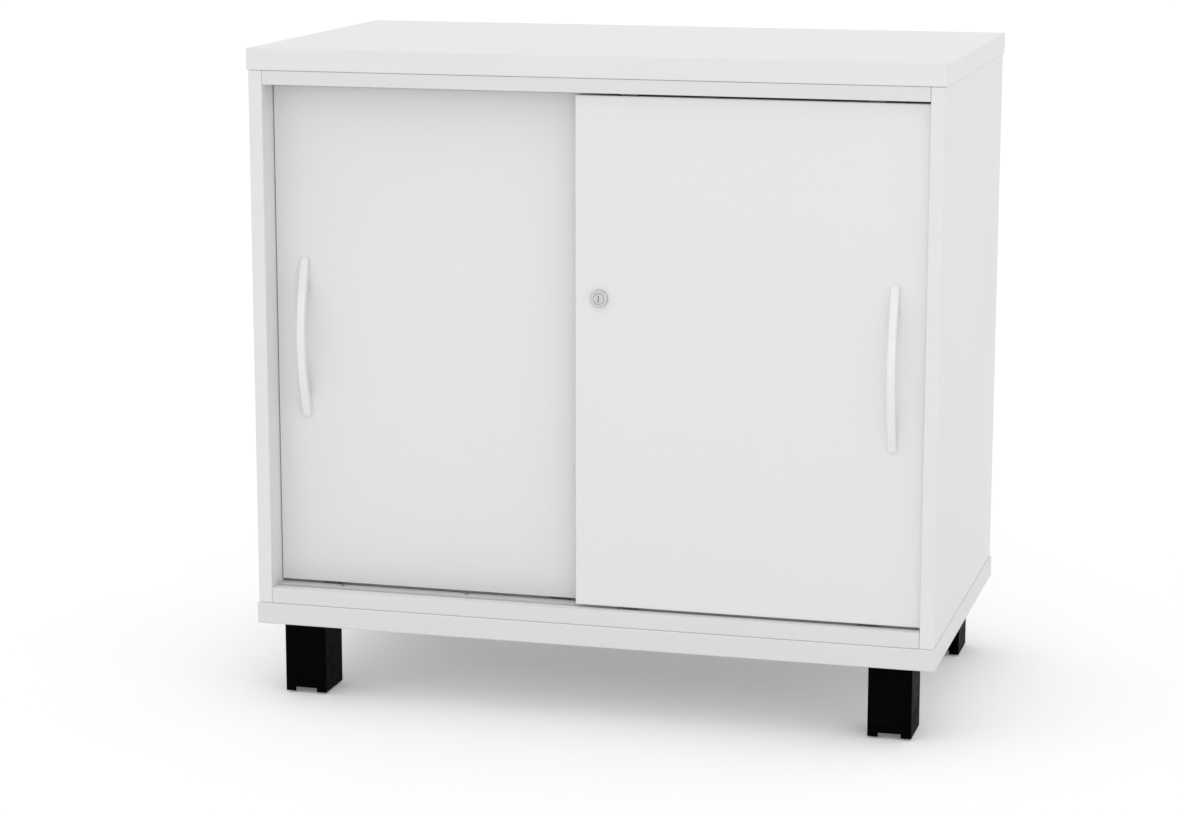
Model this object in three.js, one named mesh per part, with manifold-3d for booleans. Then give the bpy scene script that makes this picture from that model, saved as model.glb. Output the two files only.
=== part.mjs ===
// A low office cabinet with two sliding doors, standing on four twin-wheel swivel castors.
// Millimetres, +Z up, the front towards -Y. The origin lies on the floor, under the middle of the box
// that holds the whole cabinet.
import * as THREE from 'three';
import { mergeVertices } from 'three/addons/utils/BufferGeometryUtils.js';
import Module from 'manifold-3d';

const wasm = await Module();
wasm.setup();

// Clearances and overruns that all pieces share
const seatGap = 0.3;
const cutOverrun = 2;

// Case: two full slabs with sides and inner panels between them
const caseWidth = 800;
const caseDepth = 450;
const caseHeight = 673;
const slabThickness = 25;
const sideThickness = 16;
const innerTopThickness = 16;
const innerBottomThickness = 18;
const slabOverhang = 2;
const frontSetback = 1;
const boardEdge = 0.8;

// Back panel, held in grooves
const backThickness = 8;
const backInset = 12;
const backGrooveDepth = 6;

// Doors: the right one runs in front of the left one
const doorOverlap = 32;
const doorThickness = 16;
const doorRecess = 12;
const doorGap = 8;
const doorSideGap = 1;
const doorLift = 3.2;
const doorDrop = 3.5;

// Tracks with two channels, let into the inner panels
const channelWidth = 9;
const trackWall = 1.6;
const trackFloor = 1.6;
const trackHeight = 7.5;

// Rollers at the foot of each door, guides at its head
const rollerInset = 60;
const rollerRadius = 12;
const rollerWidth = 6.6;
const rollerEdge = 0.7;
const rollerSides = 20;
const rollerPinRadius = 1.5;
const housingLength = 34;
const housingWidth = 11;
const housingHeight = 18;
const rollerSlotLength = 27;
const rollerSlotWidth = 7.8;
const guideLength = 24;
const guideWidth = 7;
const guideBase = 12;
const guideReach = 8.1;

// Bow handles and their screws
const handleInset = 35;
const handleHeight = 290;
const handleLength = 190;
const handleSpread = 160;
const handleRise = 22;
const handleWaist = 5;
const handleEndRise = 3;
const handleFoot = 10;
const handleWidth = 10;
const handleEdge = 1.2;
const handleSteps = 14;
const screwRadius = 2;
const screwHeadRadius = 4;
const screwHeadHeight = 2.2;
const screwGrip = 6;
const screwSides = 12;

// Lock near the meeting edge of the front door, and the stud that its cam takes hold of
const lockInset = 28;
const lockHeight = 355;
const lockFlangeRadius = 10;
const lockFlangeProud = 5;
const lockFlangeEdge = 0.8;
const barrelRadius = 9;
const nutRadius = 11.5;
const nutThickness = 2.4;
const nutSides = 6;
const plugRadius = 6;
const keySlotLength = 7;
const keySlotWidth = 1.4;
const keySlotDepth = 4;
const camThickness = 1.5;
const camHubRadius = 8;
const camPinRadius = 3.7;
const camRivetRadius = 4.8;
const camRivetHeight = 1.2;
const camReach = 17;
const camRim = 2.4;
const camHalfAngle = 22;
const camLockedAngle = 240;
const camTurn = 90;
const studRadius = 2.6;
const studCollarRadius = 4.5;
const studCollarHeight = 1;
const studDepth = 7.7;
const lockSides = 24;

// Shelf on four pins, in rows of holes
const shelfThickness = 18;
const shelfSideGap = 1;
const shelfFront = 62;
const shelfBackGap = 5;
const pinRadius = 2.5;
const pinDepth = 8;
const pinBracketLength = 9;
const pinBracketWidth = 8;
const pinBracketHeight = 6;
const pinColumnInset = 37;
const rowPitch = 32;
const rowsEachWay = 2;
const rowHoleDepth = 10;
const rowHoleSides = 10;

// Castors
const castorInsetX = 52.5;
const castorInsetY = 56;
const castorTrail = 10;
const wheelRadius = 25;
const wheelWidth = 18;
const wheelEdge = 1.5;
const wheelSides = 28;
const wheelSideGap = 0.8;
const wheelClearance = 1.5;
const wellHeadroom = 3;
const wellCorner = 20;
const webWidth = 6;
const hoodSkirt = 2.4;
const hoodWall = 2;
const hoodRoof = 31.5;
const hoodBottom = 2;
const hoodCorner = 5;
const hoodFootCorner = 1.5;
const hoodEdge = 1.2;
const hoodArchWidth = 26;
const hoodArchHeight = 5;
const axleRadius = 3;
const stemRadius = 4;
const stemBoreDepth = 26;
const stemTopRadius = 5;
const stemTopLength = 19;
const collarRadius = 13;
const collarThickness = 1.9;
const roundSides = 16;
const cornerSteps = 5;

// Places that follow from the sizes above, in the case's own frame: X from its middle, Y from the front
// face of the slabs backwards, Z from the underside of the base slab
const sideOuter = caseWidth / 2 - slabOverhang;
const sideInner = sideOuter - sideThickness;
const innerHalfWidth = sideInner - seatGap;
const innerFloor = slabThickness + seatGap + innerBottomThickness;
const innerCeiling = caseHeight - slabThickness - seatGap - innerTopThickness;
const boardBack = caseDepth - frontSetback;
const backFace = caseDepth - backInset;
const backFront = backFace - backThickness;
const doorPitch = doorThickness + doorGap;
const doorBottom = innerFloor + doorLift;
const doorHeight = innerCeiling - doorDrop - doorBottom;
const doorWidth = sideInner - doorSideGap + doorOverlap / 2;
const doorOffset = sideInner - doorSideGap - doorWidth / 2;
const frontChannel = doorRecess + doorThickness / 2;
const rearChannel = frontChannel + doorPitch;
const trackFront = frontChannel - channelWidth / 2 - trackWall;
const trackBack = rearChannel + channelWidth / 2 + trackWall;
const shelfBottom = (innerFloor + innerCeiling - shelfThickness) / 2;
const shelfBack = backFront - shelfBackGap;
const pinHeight = shelfBottom - seatGap - pinBracketHeight / 2;
const pinColumns = [shelfFront + pinColumnInset, shelfBack - pinColumnInset];
const wellTop = 2 * wheelRadius + wellHeadroom;
const hoodTop = wellTop + hoodRoof;
const castorHeight = hoodTop + collarThickness + 2 * seatGap;
const hoodHalfDepth = wheelRadius + wheelClearance + hoodWall;
const wheelInner = webWidth / 2 + wheelSideGap;
const skirtInner = wheelInner + wheelWidth + wheelSideGap;
const hoodHalfWidth = skirtInner + hoodSkirt;
const frontReach = handleRise + seatGap - doorRecess;
const caseFront = (frontReach - caseDepth) / 2;

// Finishes
const boardFinish = new THREE.MeshStandardMaterial({ color: 0xe6e6e6, roughness: 0.55 });
const doorFinish = new THREE.MeshStandardMaterial({ color: 0xe4e4e4, roughness: 0.5 });
const trackFinish = new THREE.MeshStandardMaterial({ color: 0xcfcfcf, roughness: 0.45 });
const rollerFinish = new THREE.MeshStandardMaterial({ color: 0xd8d8d4, roughness: 0.4 });
const handleFinish = new THREE.MeshStandardMaterial({ color: 0xe2e2e2, roughness: 0.3, metalness: 0.9 });
const lockFinish = new THREE.MeshStandardMaterial({ color: 0xbdbdbd, roughness: 0.3, metalness: 1 });
const steelFinish = new THREE.MeshStandardMaterial({ color: 0xa9a9a9, roughness: 0.35, metalness: 1 });
const castorFinish = new THREE.MeshStandardMaterial({ color: 0x0c0c0d, roughness: 0.5 });
const treadFinish = new THREE.MeshStandardMaterial({ color: 0x101011, roughness: 0.65 });

// Turns a closed geometry into a solid that can be cut and joined
function solidOf(geometry) {
  const bare = geometry.clone();
  bare.deleteAttribute('normal');
  bare.deleteAttribute('uv');
  const merged = mergeVertices(bare);
  const vertProperties = new Float32Array(merged.attributes.position.array);
  const triVerts = new Uint32Array(merged.index.array);
  return new wasm.Manifold(new wasm.Mesh({ numProp: 3, vertProperties, triVerts }));
}

function geometryOf(solid) {
  const mesh = solid.getMesh();
  const geometry = new THREE.BufferGeometry();
  geometry.setAttribute('position', new THREE.BufferAttribute(new Float32Array(mesh.vertProperties), 3));
  geometry.setIndex(new THREE.BufferAttribute(new Uint32Array(mesh.triVerts), 1));
  return geometry;
}

function cut(geometry, tools) {
  return geometryOf(tools.reduce((solid, tool) => solid.subtract(solidOf(tool)), solidOf(geometry)));
}

function join(geometry, others) {
  return geometryOf(others.reduce((solid, other) => solid.add(solidOf(other)), solidOf(geometry)));
}

// Makes a named piece whose own origin is the middle of its box
function piece(name, geometry, material) {
  geometry.computeBoundingBox();
  const middle = geometry.boundingBox.getCenter(new THREE.Vector3());
  geometry.translate(-middle.x, -middle.y, -middle.z);
  geometry.computeVertexNormals();
  const mesh = new THREE.Mesh(geometry, material);
  mesh.name = name;
  mesh.position.copy(middle);
  return mesh;
}

function block([x0, x1], [y0, y1], [z0, z1]) {
  const geometry = new THREE.BoxGeometry(x1 - x0, y1 - y0, z1 - z0);
  return geometry.translate((x0 + x1) / 2, (y0 + y1) / 2, (z0 + z1) / 2);
}

// A block with all its edges chamfered
function board([x0, x1], [y0, y1], [z0, z1], edge = boardEdge) {
  const outline = new THREE.Shape([
    new THREE.Vector2(x0 + edge, y0),
    new THREE.Vector2(x1 - edge, y0),
    new THREE.Vector2(x1, y0 + edge),
    new THREE.Vector2(x1, y1 - edge),
    new THREE.Vector2(x1 - edge, y1),
    new THREE.Vector2(x0 + edge, y1),
    new THREE.Vector2(x0, y1 - edge),
    new THREE.Vector2(x0, y0 + edge),
  ]);
  const geometry = new THREE.ExtrudeGeometry(outline, {
    depth: z1 - z0 - 2 * edge,
    bevelSize: edge,
    bevelOffset: -edge,
    bevelThickness: edge,
    bevelSegments: 1,
  });
  return geometry.translate(0, 0, z0 + edge);
}

// Round bars along the three axes
function rodX(radius, [x0, x1], y, z, sides = roundSides) {
  const geometry = new THREE.CylinderGeometry(radius, radius, x1 - x0, sides);
  return geometry.rotateZ(-Math.PI / 2).translate((x0 + x1) / 2, y, z);
}

function rodY(radius, x, [y0, y1], z, sides = roundSides) {
  const geometry = new THREE.CylinderGeometry(radius, radius, y1 - y0, sides);
  return geometry.translate(x, (y0 + y1) / 2, z);
}

function rodZ(radius, x, y, [z0, z1], sides = roundSides) {
  const geometry = new THREE.CylinderGeometry(radius, radius, z1 - z0, sides);
  return geometry.rotateX(Math.PI / 2).translate(x, y, (z0 + z1) / 2);
}

// Turned pieces: pairs of radius and place along +Y, from the low end to the high end
function turned(pairs, sides, startAngle = 0) {
  const points = pairs.map(([radius, along]) => new THREE.Vector2(radius, along));
  return new THREE.LatheGeometry(points, sides, startAngle);
}

// Pushes an outline drawn in Y and Z along X
function extrudeX(outline, [x0, x1], edge = 0) {
  const geometry = new THREE.ExtrudeGeometry(outline, {
    depth: x1 - x0 - 2 * edge,
    curveSegments: cornerSteps,
    bevelEnabled: edge > 0,
    bevelSize: edge,
    bevelOffset: -edge,
    bevelThickness: edge,
    bevelSegments: 1,
  });
  const turn = new THREE.Matrix4().makeBasis(
    new THREE.Vector3(0, 1, 0),
    new THREE.Vector3(0, 0, 1),
    new THREE.Vector3(1, 0, 0),
  );
  return geometry.applyMatrix4(turn).translate(x0 + edge, 0, 0);
}

// Pushes an outline drawn in X and Z along Y
function extrudeY(outline, [y0, y1]) {
  const geometry = new THREE.ExtrudeGeometry(outline, {
    depth: y1 - y0,
    curveSegments: cornerSteps,
    bevelEnabled: false,
  });
  return geometry.rotateX(Math.PI / 2).translate(0, y1, 0);
}

function roundedOutline([u0, u1], [v0, v1], topCorner, footCorner) {
  const outline = new THREE.Shape();
  outline.moveTo(u0 + footCorner, v0);
  outline.lineTo(u1 - footCorner, v0);
  outline.absarc(u1 - footCorner, v0 + footCorner, footCorner, -Math.PI / 2, 0);
  outline.lineTo(u1, v1 - topCorner);
  outline.absarc(u1 - topCorner, v1 - topCorner, topCorner, 0, Math.PI / 2);
  outline.lineTo(u0 + topCorner, v1);
  outline.absarc(u0 + topCorner, v1 - topCorner, topCorner, Math.PI / 2, Math.PI);
  outline.lineTo(u0, v0 + footCorner);
  outline.absarc(u0 + footCorner, v0 + footCorner, footCorner, Math.PI, 1.5 * Math.PI);
  return outline;
}

// Case

function rowHoles(side) {
  const holes = [];
  const mouth = side * (sideInner - cutOverrun);
  const end = side * (sideInner + rowHoleDepth);
  for (const y of pinColumns) {
    for (let row = -rowsEachWay; row <= rowsEachWay; row += 1) {
      const span = [Math.min(mouth, end), Math.max(mouth, end)];
      holes.push(rodX(pinRadius + seatGap, span, y, pinHeight + row * rowPitch, rowHoleSides));
    }
  }
  return holes;
}

const backGroove = [backFront - seatGap, backFace + seatGap];

function sidePanel(side) {
  const x = [side * sideInner, side * sideOuter].sort((a, b) => a - b);
  const grooveX = [side * (sideInner - cutOverrun), side * (sideInner + backGrooveDepth)];
  const groove = block(
    grooveX.sort((a, b) => a - b),
    backGroove,
    [innerFloor - backGrooveDepth, innerCeiling + backGrooveDepth],
  );
  const z = [slabThickness + seatGap, caseHeight - slabThickness - seatGap];
  return cut(board(x, [frontSetback, boardBack], z), [groove, ...rowHoles(side)]);
}

// The inner panels carry the tracks on one face and hold the back panel in a groove of the same face.
// up is 1 for the bottom panel, whose working face is its top, and -1 for the top panel.
function innerPanel(up) {
  const face = up > 0 ? innerFloor : innerCeiling;
  const thickness = up > 0 ? innerBottomThickness : innerTopThickness;
  const z = [face - up * thickness, face].sort((a, b) => a - b);
  const across = [-innerHalfWidth - cutOverrun, innerHalfWidth + cutOverrun];
  const opened = (depth) => [face - up * depth, face + up * cutOverrun].sort((a, b) => a - b);
  const trackSeat = [trackFront - seatGap, trackBack + seatGap];
  return cut(board([-innerHalfWidth, innerHalfWidth], [frontSetback, boardBack], z), [
    block(across, trackSeat, opened(trackHeight + seatGap)),
    block(across, backGroove, opened(backGrooveDepth)),
  ]);
}

function basePanel() {
  const slab = board([-caseWidth / 2, caseWidth / 2], [0, caseDepth], [0, slabThickness]);
  const holes = castorPlaces.map(({ x, y }) => rodZ(
    stemTopRadius + seatGap,
    x,
    y,
    [-cutOverrun, stemTopLength + 2 * seatGap],
  ));
  return cut(slab, holes);
}

function topPanel() {
  const z = [caseHeight - slabThickness, caseHeight];
  return board([-caseWidth / 2, caseWidth / 2], [0, caseDepth], z);
}

function backPanel() {
  const lap = backGrooveDepth - seatGap;
  return block(
    [-sideInner - lap, sideInner + lap],
    [backFront, backFace],
    [innerFloor - lap, innerCeiling + lap],
  );
}

function shelf() {
  const half = sideInner - shelfSideGap;
  return board([-half, half], [shelfFront, shelfBack], [shelfBottom, shelfBottom + shelfThickness]);
}

function shelfPin(side, y) {
  const near = side * (sideInner - seatGap);
  const bracketX = [near, near - side * pinBracketLength].sort((a, b) => a - b);
  const bracketZ = [pinHeight - pinBracketHeight / 2, pinHeight + pinBracketHeight / 2];
  const bracketY = [y - pinBracketWidth / 2, y + pinBracketWidth / 2];
  const pinX = [near - side * pinRadius, side * (sideInner + pinDepth)].sort((a, b) => a - b);
  return join(block(bracketX, bracketY, bracketZ), [rodX(pinRadius, pinX, y, pinHeight)]);
}

// Two U channels joined by a flat web at their mouths. mouth is the height of the open side, and up says
// which way the channels open.
function track(mouth, up) {
  const half = channelWidth / 2;
  const front = [trackFront, frontChannel - half, frontChannel + half, frontChannel + half + trackWall];
  const rear = [rearChannel - half - trackWall, rearChannel - half, rearChannel + half, trackBack];
  const bottom = mouth - up * trackHeight;
  const floor = bottom + up * trackFloor;
  const webUnder = mouth - up * trackWall;
  const outline = new THREE.Shape([
    new THREE.Vector2(front[0], bottom),
    new THREE.Vector2(front[3], bottom),
    new THREE.Vector2(front[3], webUnder),
    new THREE.Vector2(rear[0], webUnder),
    new THREE.Vector2(rear[0], bottom),
    new THREE.Vector2(rear[3], bottom),
    new THREE.Vector2(rear[3], mouth),
    new THREE.Vector2(rear[2], mouth),
    new THREE.Vector2(rear[2], floor),
    new THREE.Vector2(rear[1], floor),
    new THREE.Vector2(rear[1], mouth),
    new THREE.Vector2(front[2], mouth),
    new THREE.Vector2(front[2], floor),
    new THREE.Vector2(front[1], floor),
    new THREE.Vector2(front[1], mouth),
    new THREE.Vector2(front[0], mouth),
  ]);
  return extrudeX(outline, [-innerHalfWidth, innerHalfWidth]);
}

// Doors: each in a frame of its own, X from its middle, Y from its front face, Z from its bottom edge

const doorMiddle = doorThickness / 2;
const rollerPlaces = [rollerInset - doorWidth / 2, doorWidth / 2 - rollerInset];
const handleScrewHeights = [handleHeight - handleSpread / 2, handleHeight + handleSpread / 2];
const lockX = lockInset - doorWidth / 2;
const studAngle = THREE.MathUtils.degToRad(camLockedAngle);
const studX = 2 * doorOffset + lockX + camReach * Math.cos(studAngle);
const studZ = lockHeight + camReach * Math.sin(studAngle);

// side is -1 for the left door and 1 for the right one
function doorLeaf(side) {
  const pocketY = [doorMiddle - housingWidth / 2, doorMiddle + housingWidth / 2];
  const through = [-cutOverrun, doorThickness + cutOverrun];
  const tools = rollerPlaces.flatMap((x) => [
    block([x - housingLength / 2, x + housingLength / 2], pocketY, [-cutOverrun, housingHeight]),
    block(
      [x - guideLength / 2, x + guideLength / 2],
      pocketY,
      [doorHeight - guideBase, doorHeight + cutOverrun],
    ),
  ]);
  for (const z of handleScrewHeights) {
    tools.push(rodY(screwRadius + seatGap, handlePlace(side), through, z, screwSides));
  }
  if (side > 0) {
    tools.push(rodY(barrelRadius + seatGap, lockX, through, lockHeight, lockSides));
  } else {
    tools.push(rodY(studRadius + seatGap, studX, [-cutOverrun, studDepth + seatGap], studZ));
  }
  const leaf = board([-doorWidth / 2, doorWidth / 2], [0, doorThickness], [0, doorHeight]);
  return cut(leaf, tools);
}

function handlePlace(side) {
  return side * (doorWidth / 2 - handleInset);
}

// Points [rise, z] of an arc over a chord, from its low end to its high end
function bow(halfChord, endRise, rise) {
  const sagitta = rise - endRise;
  const radius = (halfChord ** 2 + sagitta ** 2) / (2 * sagitta);
  const reach = Math.asin(halfChord / radius);
  return Array.from({ length: handleSteps + 1 }, (_, step) => {
    const angle = reach * (2 * step / handleSteps - 1);
    return [rise - radius + radius * Math.cos(angle), radius * Math.sin(angle)];
  });
}

function handle(side) {
  const outer = bow(handleLength / 2, handleEndRise, handleRise);
  const inner = bow(handleSpread / 2 - handleFoot, 0, handleRise - handleWaist).reverse();
  const around = [[0, -handleLength / 2], ...outer, [0, handleLength / 2], ...inner];
  const outline = new THREE.Shape(
    around.map(([rise, z]) => new THREE.Vector2(-seatGap - rise, handleHeight + z)),
  );
  const x = handlePlace(side);
  const bar = extrudeX(outline, [x - handleWidth / 2, x + handleWidth / 2], handleEdge);
  const holeY = [-2 * seatGap - screwGrip, cutOverrun];
  return cut(bar, handleScrewHeights.map((z) => rodY(screwRadius + seatGap, x, holeY, z, screwSides)));
}

function handleScrew(side, z) {
  const head = doorThickness + seatGap;
  const screw = turned([
    [0, -seatGap - screwGrip],
    [screwRadius, -seatGap - screwGrip],
    [screwRadius, head],
    [screwHeadRadius, head],
    [screwHeadRadius, head + screwHeadHeight / 2],
    [screwHeadRadius - screwHeadHeight / 2, head + screwHeadHeight],
    [0, head + screwHeadHeight],
  ], screwSides);
  return screw.translate(handlePlace(side), 0, z);
}

// Height of the roller's axis over the door's bottom edge
const rollerAxis = rollerRadius + seatGap - trackHeight + trackFloor - doorLift;

function rollerHousing(x) {
  const shell = block(
    [x - housingLength / 2 + seatGap, x + housingLength / 2 - seatGap],
    [doorMiddle - housingWidth / 2 + seatGap, doorMiddle + housingWidth / 2 - seatGap],
    [0, housingHeight - seatGap],
  );
  const slot = block(
    [x - rollerSlotLength / 2, x + rollerSlotLength / 2],
    [doorMiddle - rollerSlotWidth / 2, doorMiddle + rollerSlotWidth / 2],
    [-cutOverrun, rollerAxis + rollerRadius + seatGap + rollerEdge],
  );
  const pinHole = rodY(rollerPinRadius + seatGap, x, [-cutOverrun, doorThickness], rollerAxis, screwSides);
  return cut(shell, [slot, pinHole]);
}

function roller(x) {
  const rim = rollerRadius / Math.cos(Math.PI / rollerSides);
  const half = rollerWidth / 2;
  const pinEnd = housingWidth / 2 - seatGap;
  const wheel = turned([
    [0, -pinEnd],
    [rollerPinRadius, -pinEnd],
    [rollerPinRadius, -half],
    [rim - rollerEdge, -half],
    [rim, rollerEdge - half],
    [rim, half - rollerEdge],
    [rim - rollerEdge, half],
    [rollerPinRadius, half],
    [rollerPinRadius, pinEnd],
    [0, pinEnd],
  ], rollerSides, Math.PI / rollerSides);
  return wheel.translate(x, doorMiddle, rollerAxis);
}

function topGuide(x) {
  const base = block(
    [x - guideLength / 2 + seatGap, x + guideLength / 2 - seatGap],
    [doorMiddle - housingWidth / 2 + seatGap, doorMiddle + housingWidth / 2 - seatGap],
    [doorHeight - guideBase + seatGap, doorHeight],
  );
  const tongue = board(
    [x - guideLength / 2 + seatGap, x + guideLength / 2 - seatGap],
    [doorMiddle - guideWidth / 2, doorMiddle + guideWidth / 2],
    [doorHeight - cutOverrun, doorHeight + guideReach],
  );
  return join(base, [tongue]);
}

// Lock: turned pieces on one axis through the front door

const nutFace = doorThickness + seatGap + nutThickness;
const barrelEnd = nutFace + seatGap;
const camFace = barrelEnd + seatGap;
const camBack = camFace + camThickness;
const boreRadius = plugRadius + seatGap;

function lockBarrel() {
  const flangeBack = -seatGap;
  const face = -lockFlangeProud;
  const barrel = turned([
    [boreRadius, face],
    [lockFlangeRadius - lockFlangeEdge, face],
    [lockFlangeRadius, face + lockFlangeEdge],
    [lockFlangeRadius, flangeBack],
    [barrelRadius, flangeBack],
    [barrelRadius, barrelEnd],
    [boreRadius, barrelEnd],
    [boreRadius, face],
  ], lockSides);
  return barrel.translate(lockX, 0, lockHeight);
}

function lockNut() {
  const hexagon = rodY(nutRadius, lockX, [nutFace - nutThickness, nutFace], lockHeight, nutSides);
  const hole = rodY(barrelRadius + seatGap, lockX, [0, nutFace + cutOverrun], lockHeight, lockSides);
  return cut(hexagon, [hole]);
}

function lockPlug() {
  const rivet = camBack + seatGap;
  const face = -lockFlangeProud;
  const plug = turned([
    [0, face],
    [plugRadius, face],
    [plugRadius, barrelEnd],
    [camPinRadius, barrelEnd],
    [camPinRadius, rivet],
    [camRivetRadius, rivet],
    [camRivetRadius, rivet + camRivetHeight],
    [0, rivet + camRivetHeight],
  ], lockSides);
  const keySlot = block(
    [-keySlotWidth / 2, keySlotWidth / 2],
    [face - cutOverrun, face + keySlotDepth],
    [-keySlotLength / 2, keySlotLength / 2],
  );
  return cut(plug, [keySlot]).translate(lockX, 0, lockHeight);
}

// A slice of a ring, between two radii and two angles in degrees
function ringSlice(innerRadius, outerRadius, fromAngle, toAngle) {
  const from = THREE.MathUtils.degToRad(fromAngle);
  const to = THREE.MathUtils.degToRad(toAngle);
  const outline = new THREE.Shape();
  outline.absarc(0, 0, outerRadius, from, to);
  outline.absarc(0, 0, innerRadius, to, from, true);
  return outline;
}

// The cam points up and to the left while unlocked, and turns down round the stud to lock
function lockCam() {
  const rest = camLockedAngle - camTurn;
  const slotHalf = studRadius + 2 * seatGap;
  const slotEnd = THREE.MathUtils.radToDeg(slotHalf / camReach);
  const outside = camReach + slotHalf + camRim;
  const span = [camFace, camBack];
  const toolSpan = [camFace - cutOverrun, camBack + cutOverrun];
  const arm = extrudeY(ringSlice(camPinRadius, outside, rest - camHalfAngle, rest + camHalfAngle), span);
  const slot = extrudeY(
    ringSlice(camReach - slotHalf, camReach + slotHalf, rest - slotEnd, rest + 2 * camHalfAngle),
    toolSpan,
  );
  const eye = rodY(camPinRadius + seatGap, 0, toolSpan, 0, lockSides);
  const hub = rodY(camHubRadius, 0, span, 0, lockSides);
  return cut(join(hub, [arm]), [slot, eye]).translate(lockX, 0, lockHeight);
}

// The stud stands on the face of the rear door, in that door's frame
function lockStud() {
  const tip = barrelEnd - doorPitch;
  const stud = turned([
    [0, tip],
    [studRadius, tip],
    [studRadius, -seatGap - studCollarHeight],
    [studCollarRadius, -seatGap - studCollarHeight],
    [studCollarRadius, -seatGap],
    [studRadius, -seatGap],
    [studRadius, studDepth],
    [0, studDepth],
  ], roundSides);
  return stud.translate(studX, 0, studZ);
}

// Castors: each in a frame of its own, on the floor under its swivel axis. trail is the axle's place along Y
// from that axis: in front of it on the front castors, and behind it on the rear ones.

const castorX = caseWidth / 2 - castorInsetX;
const castorRows = {
  front: { y: castorInsetY, trail: -castorTrail },
  rear: { y: caseDepth - castorInsetY, trail: castorTrail },
};
const castorSides = { left: -castorX, right: castorX };
const castorPlaces = Object.entries(castorSides).flatMap(([sideName, x]) => (
  Object.entries(castorRows).map(([rowName, row]) => ({ name: `${rowName}_${sideName}`, x, ...row }))
));

// A box over both wheels, open below, with a low arch in its front and rear walls
function castorHood(trail) {
  const y = [trail - hoodHalfDepth, trail + hoodHalfDepth];
  const outline = roundedOutline(y, [hoodBottom, hoodTop], hoodCorner, hoodFootCorner);
  const shell = extrudeX(outline, [-hoodHalfWidth, hoodHalfWidth], hoodEdge);
  const wellY = [y[0] + hoodWall, y[1] - hoodWall];
  const wellOutline = roundedOutline(wellY, [-cutOverrun, wellTop], wellCorner, hoodFootCorner);
  return cut(shell, [
    extrudeX(wellOutline, [webWidth / 2, skirtInner]),
    extrudeX(wellOutline, [-skirtInner, -webWidth / 2]),
    block(
      [-hoodArchWidth / 2, hoodArchWidth / 2],
      [y[0] - cutOverrun, y[1] + cutOverrun],
      [-cutOverrun, hoodBottom + hoodArchHeight],
    ),
    rodX(
      axleRadius + seatGap,
      [-hoodHalfWidth - cutOverrun, hoodHalfWidth + cutOverrun],
      trail,
      wheelRadius,
    ),
    rodZ(stemRadius + seatGap, 0, 0, [hoodTop - stemBoreDepth, hoodTop + cutOverrun]),
  ]);
}

function castorStem() {
  const collarFoot = hoodTop + seatGap;
  const collarHead = collarFoot + collarThickness;
  const stem = turned([
    [0, hoodTop - stemBoreDepth + seatGap],
    [stemRadius, hoodTop - stemBoreDepth + seatGap],
    [stemRadius, collarFoot],
    [collarRadius, collarFoot],
    [collarRadius, collarHead],
    [stemTopRadius, collarHead],
    [stemTopRadius, castorHeight + stemTopLength],
    [0, castorHeight + stemTopLength],
  ], roundSides);
  return stem.rotateX(Math.PI / 2);
}

function castorAxle(trail) {
  return rodX(axleRadius, [seatGap - hoodHalfWidth, hoodHalfWidth - seatGap], trail, wheelRadius);
}

// A flat of the tread faces down, so that the wheel stands on it
function castorWheel(side, trail) {
  const rim = wheelRadius / Math.cos(Math.PI / wheelSides);
  const bore = axleRadius + seatGap;
  const wheel = turned([
    [bore, wheelInner],
    [rim - wheelEdge, wheelInner],
    [rim, wheelInner + wheelEdge],
    [rim, wheelInner + wheelWidth - wheelEdge],
    [rim - wheelEdge, wheelInner + wheelWidth],
    [bore, wheelInner + wheelWidth],
    [bore, wheelInner],
  ], wheelSides, Math.PI / wheelSides);
  return wheel.rotateZ(-side * Math.PI / 2).translate(0, trail, wheelRadius);
}

// Assembly

function group(x, y, z, ...children) {
  const made = new THREE.Group();
  made.position.set(x, y, z);
  made.add(...children);
  return made;
}

function caseGroup() {
  const pins = [['left', -1], ['right', 1]].flatMap(([sideName, side]) => (
    [['front', pinColumns[0]], ['rear', pinColumns[1]]].map(([place, y]) => (
      piece(`shelf_pin_${place}_${sideName}`, shelfPin(side, y), steelFinish)
    ))
  ));
  return group(
    0,
    0,
    0,
    piece('top_panel', topPanel(), boardFinish),
    piece('base_panel', basePanel(), boardFinish),
    piece('side_panel_left', sidePanel(-1), boardFinish),
    piece('side_panel_right', sidePanel(1), boardFinish),
    piece('inner_top_panel', innerPanel(-1), boardFinish),
    piece('inner_bottom_panel', innerPanel(1), boardFinish),
    piece('back_panel', backPanel(), boardFinish),
    piece('shelf', shelf(), boardFinish),
    piece('track_top', track(innerCeiling, -1), trackFinish),
    piece('track_bottom', track(innerFloor, 1), trackFinish),
    ...pins,
  );
}

function doorGroup(name, side) {
  const y = side > 0 ? doorRecess : doorRecess + doorPitch;
  const running = [['left', rollerPlaces[0]], ['right', rollerPlaces[1]]].flatMap(([end, x]) => [
    piece(`door_${name}_roller_housing_${end}`, rollerHousing(x), trackFinish),
    piece(`door_${name}_roller_${end}`, roller(x), rollerFinish),
    piece(`door_${name}_guide_${end}`, topGuide(x), trackFinish),
  ]);
  const screws = [['lower', handleScrewHeights[0]], ['upper', handleScrewHeights[1]]].map(([place, z]) => (
    piece(`handle_${name}_screw_${place}`, handleScrew(side, z), steelFinish)
  ));
  return group(
    side * doorOffset,
    y,
    doorBottom,
    piece(`door_${name}`, doorLeaf(side), doorFinish),
    piece(`handle_${name}`, handle(side), handleFinish),
    ...running,
    ...screws,
    ...(side > 0 ? lockPieces() : [piece('lock_stud', lockStud(), steelFinish)]),
  );
}

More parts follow.
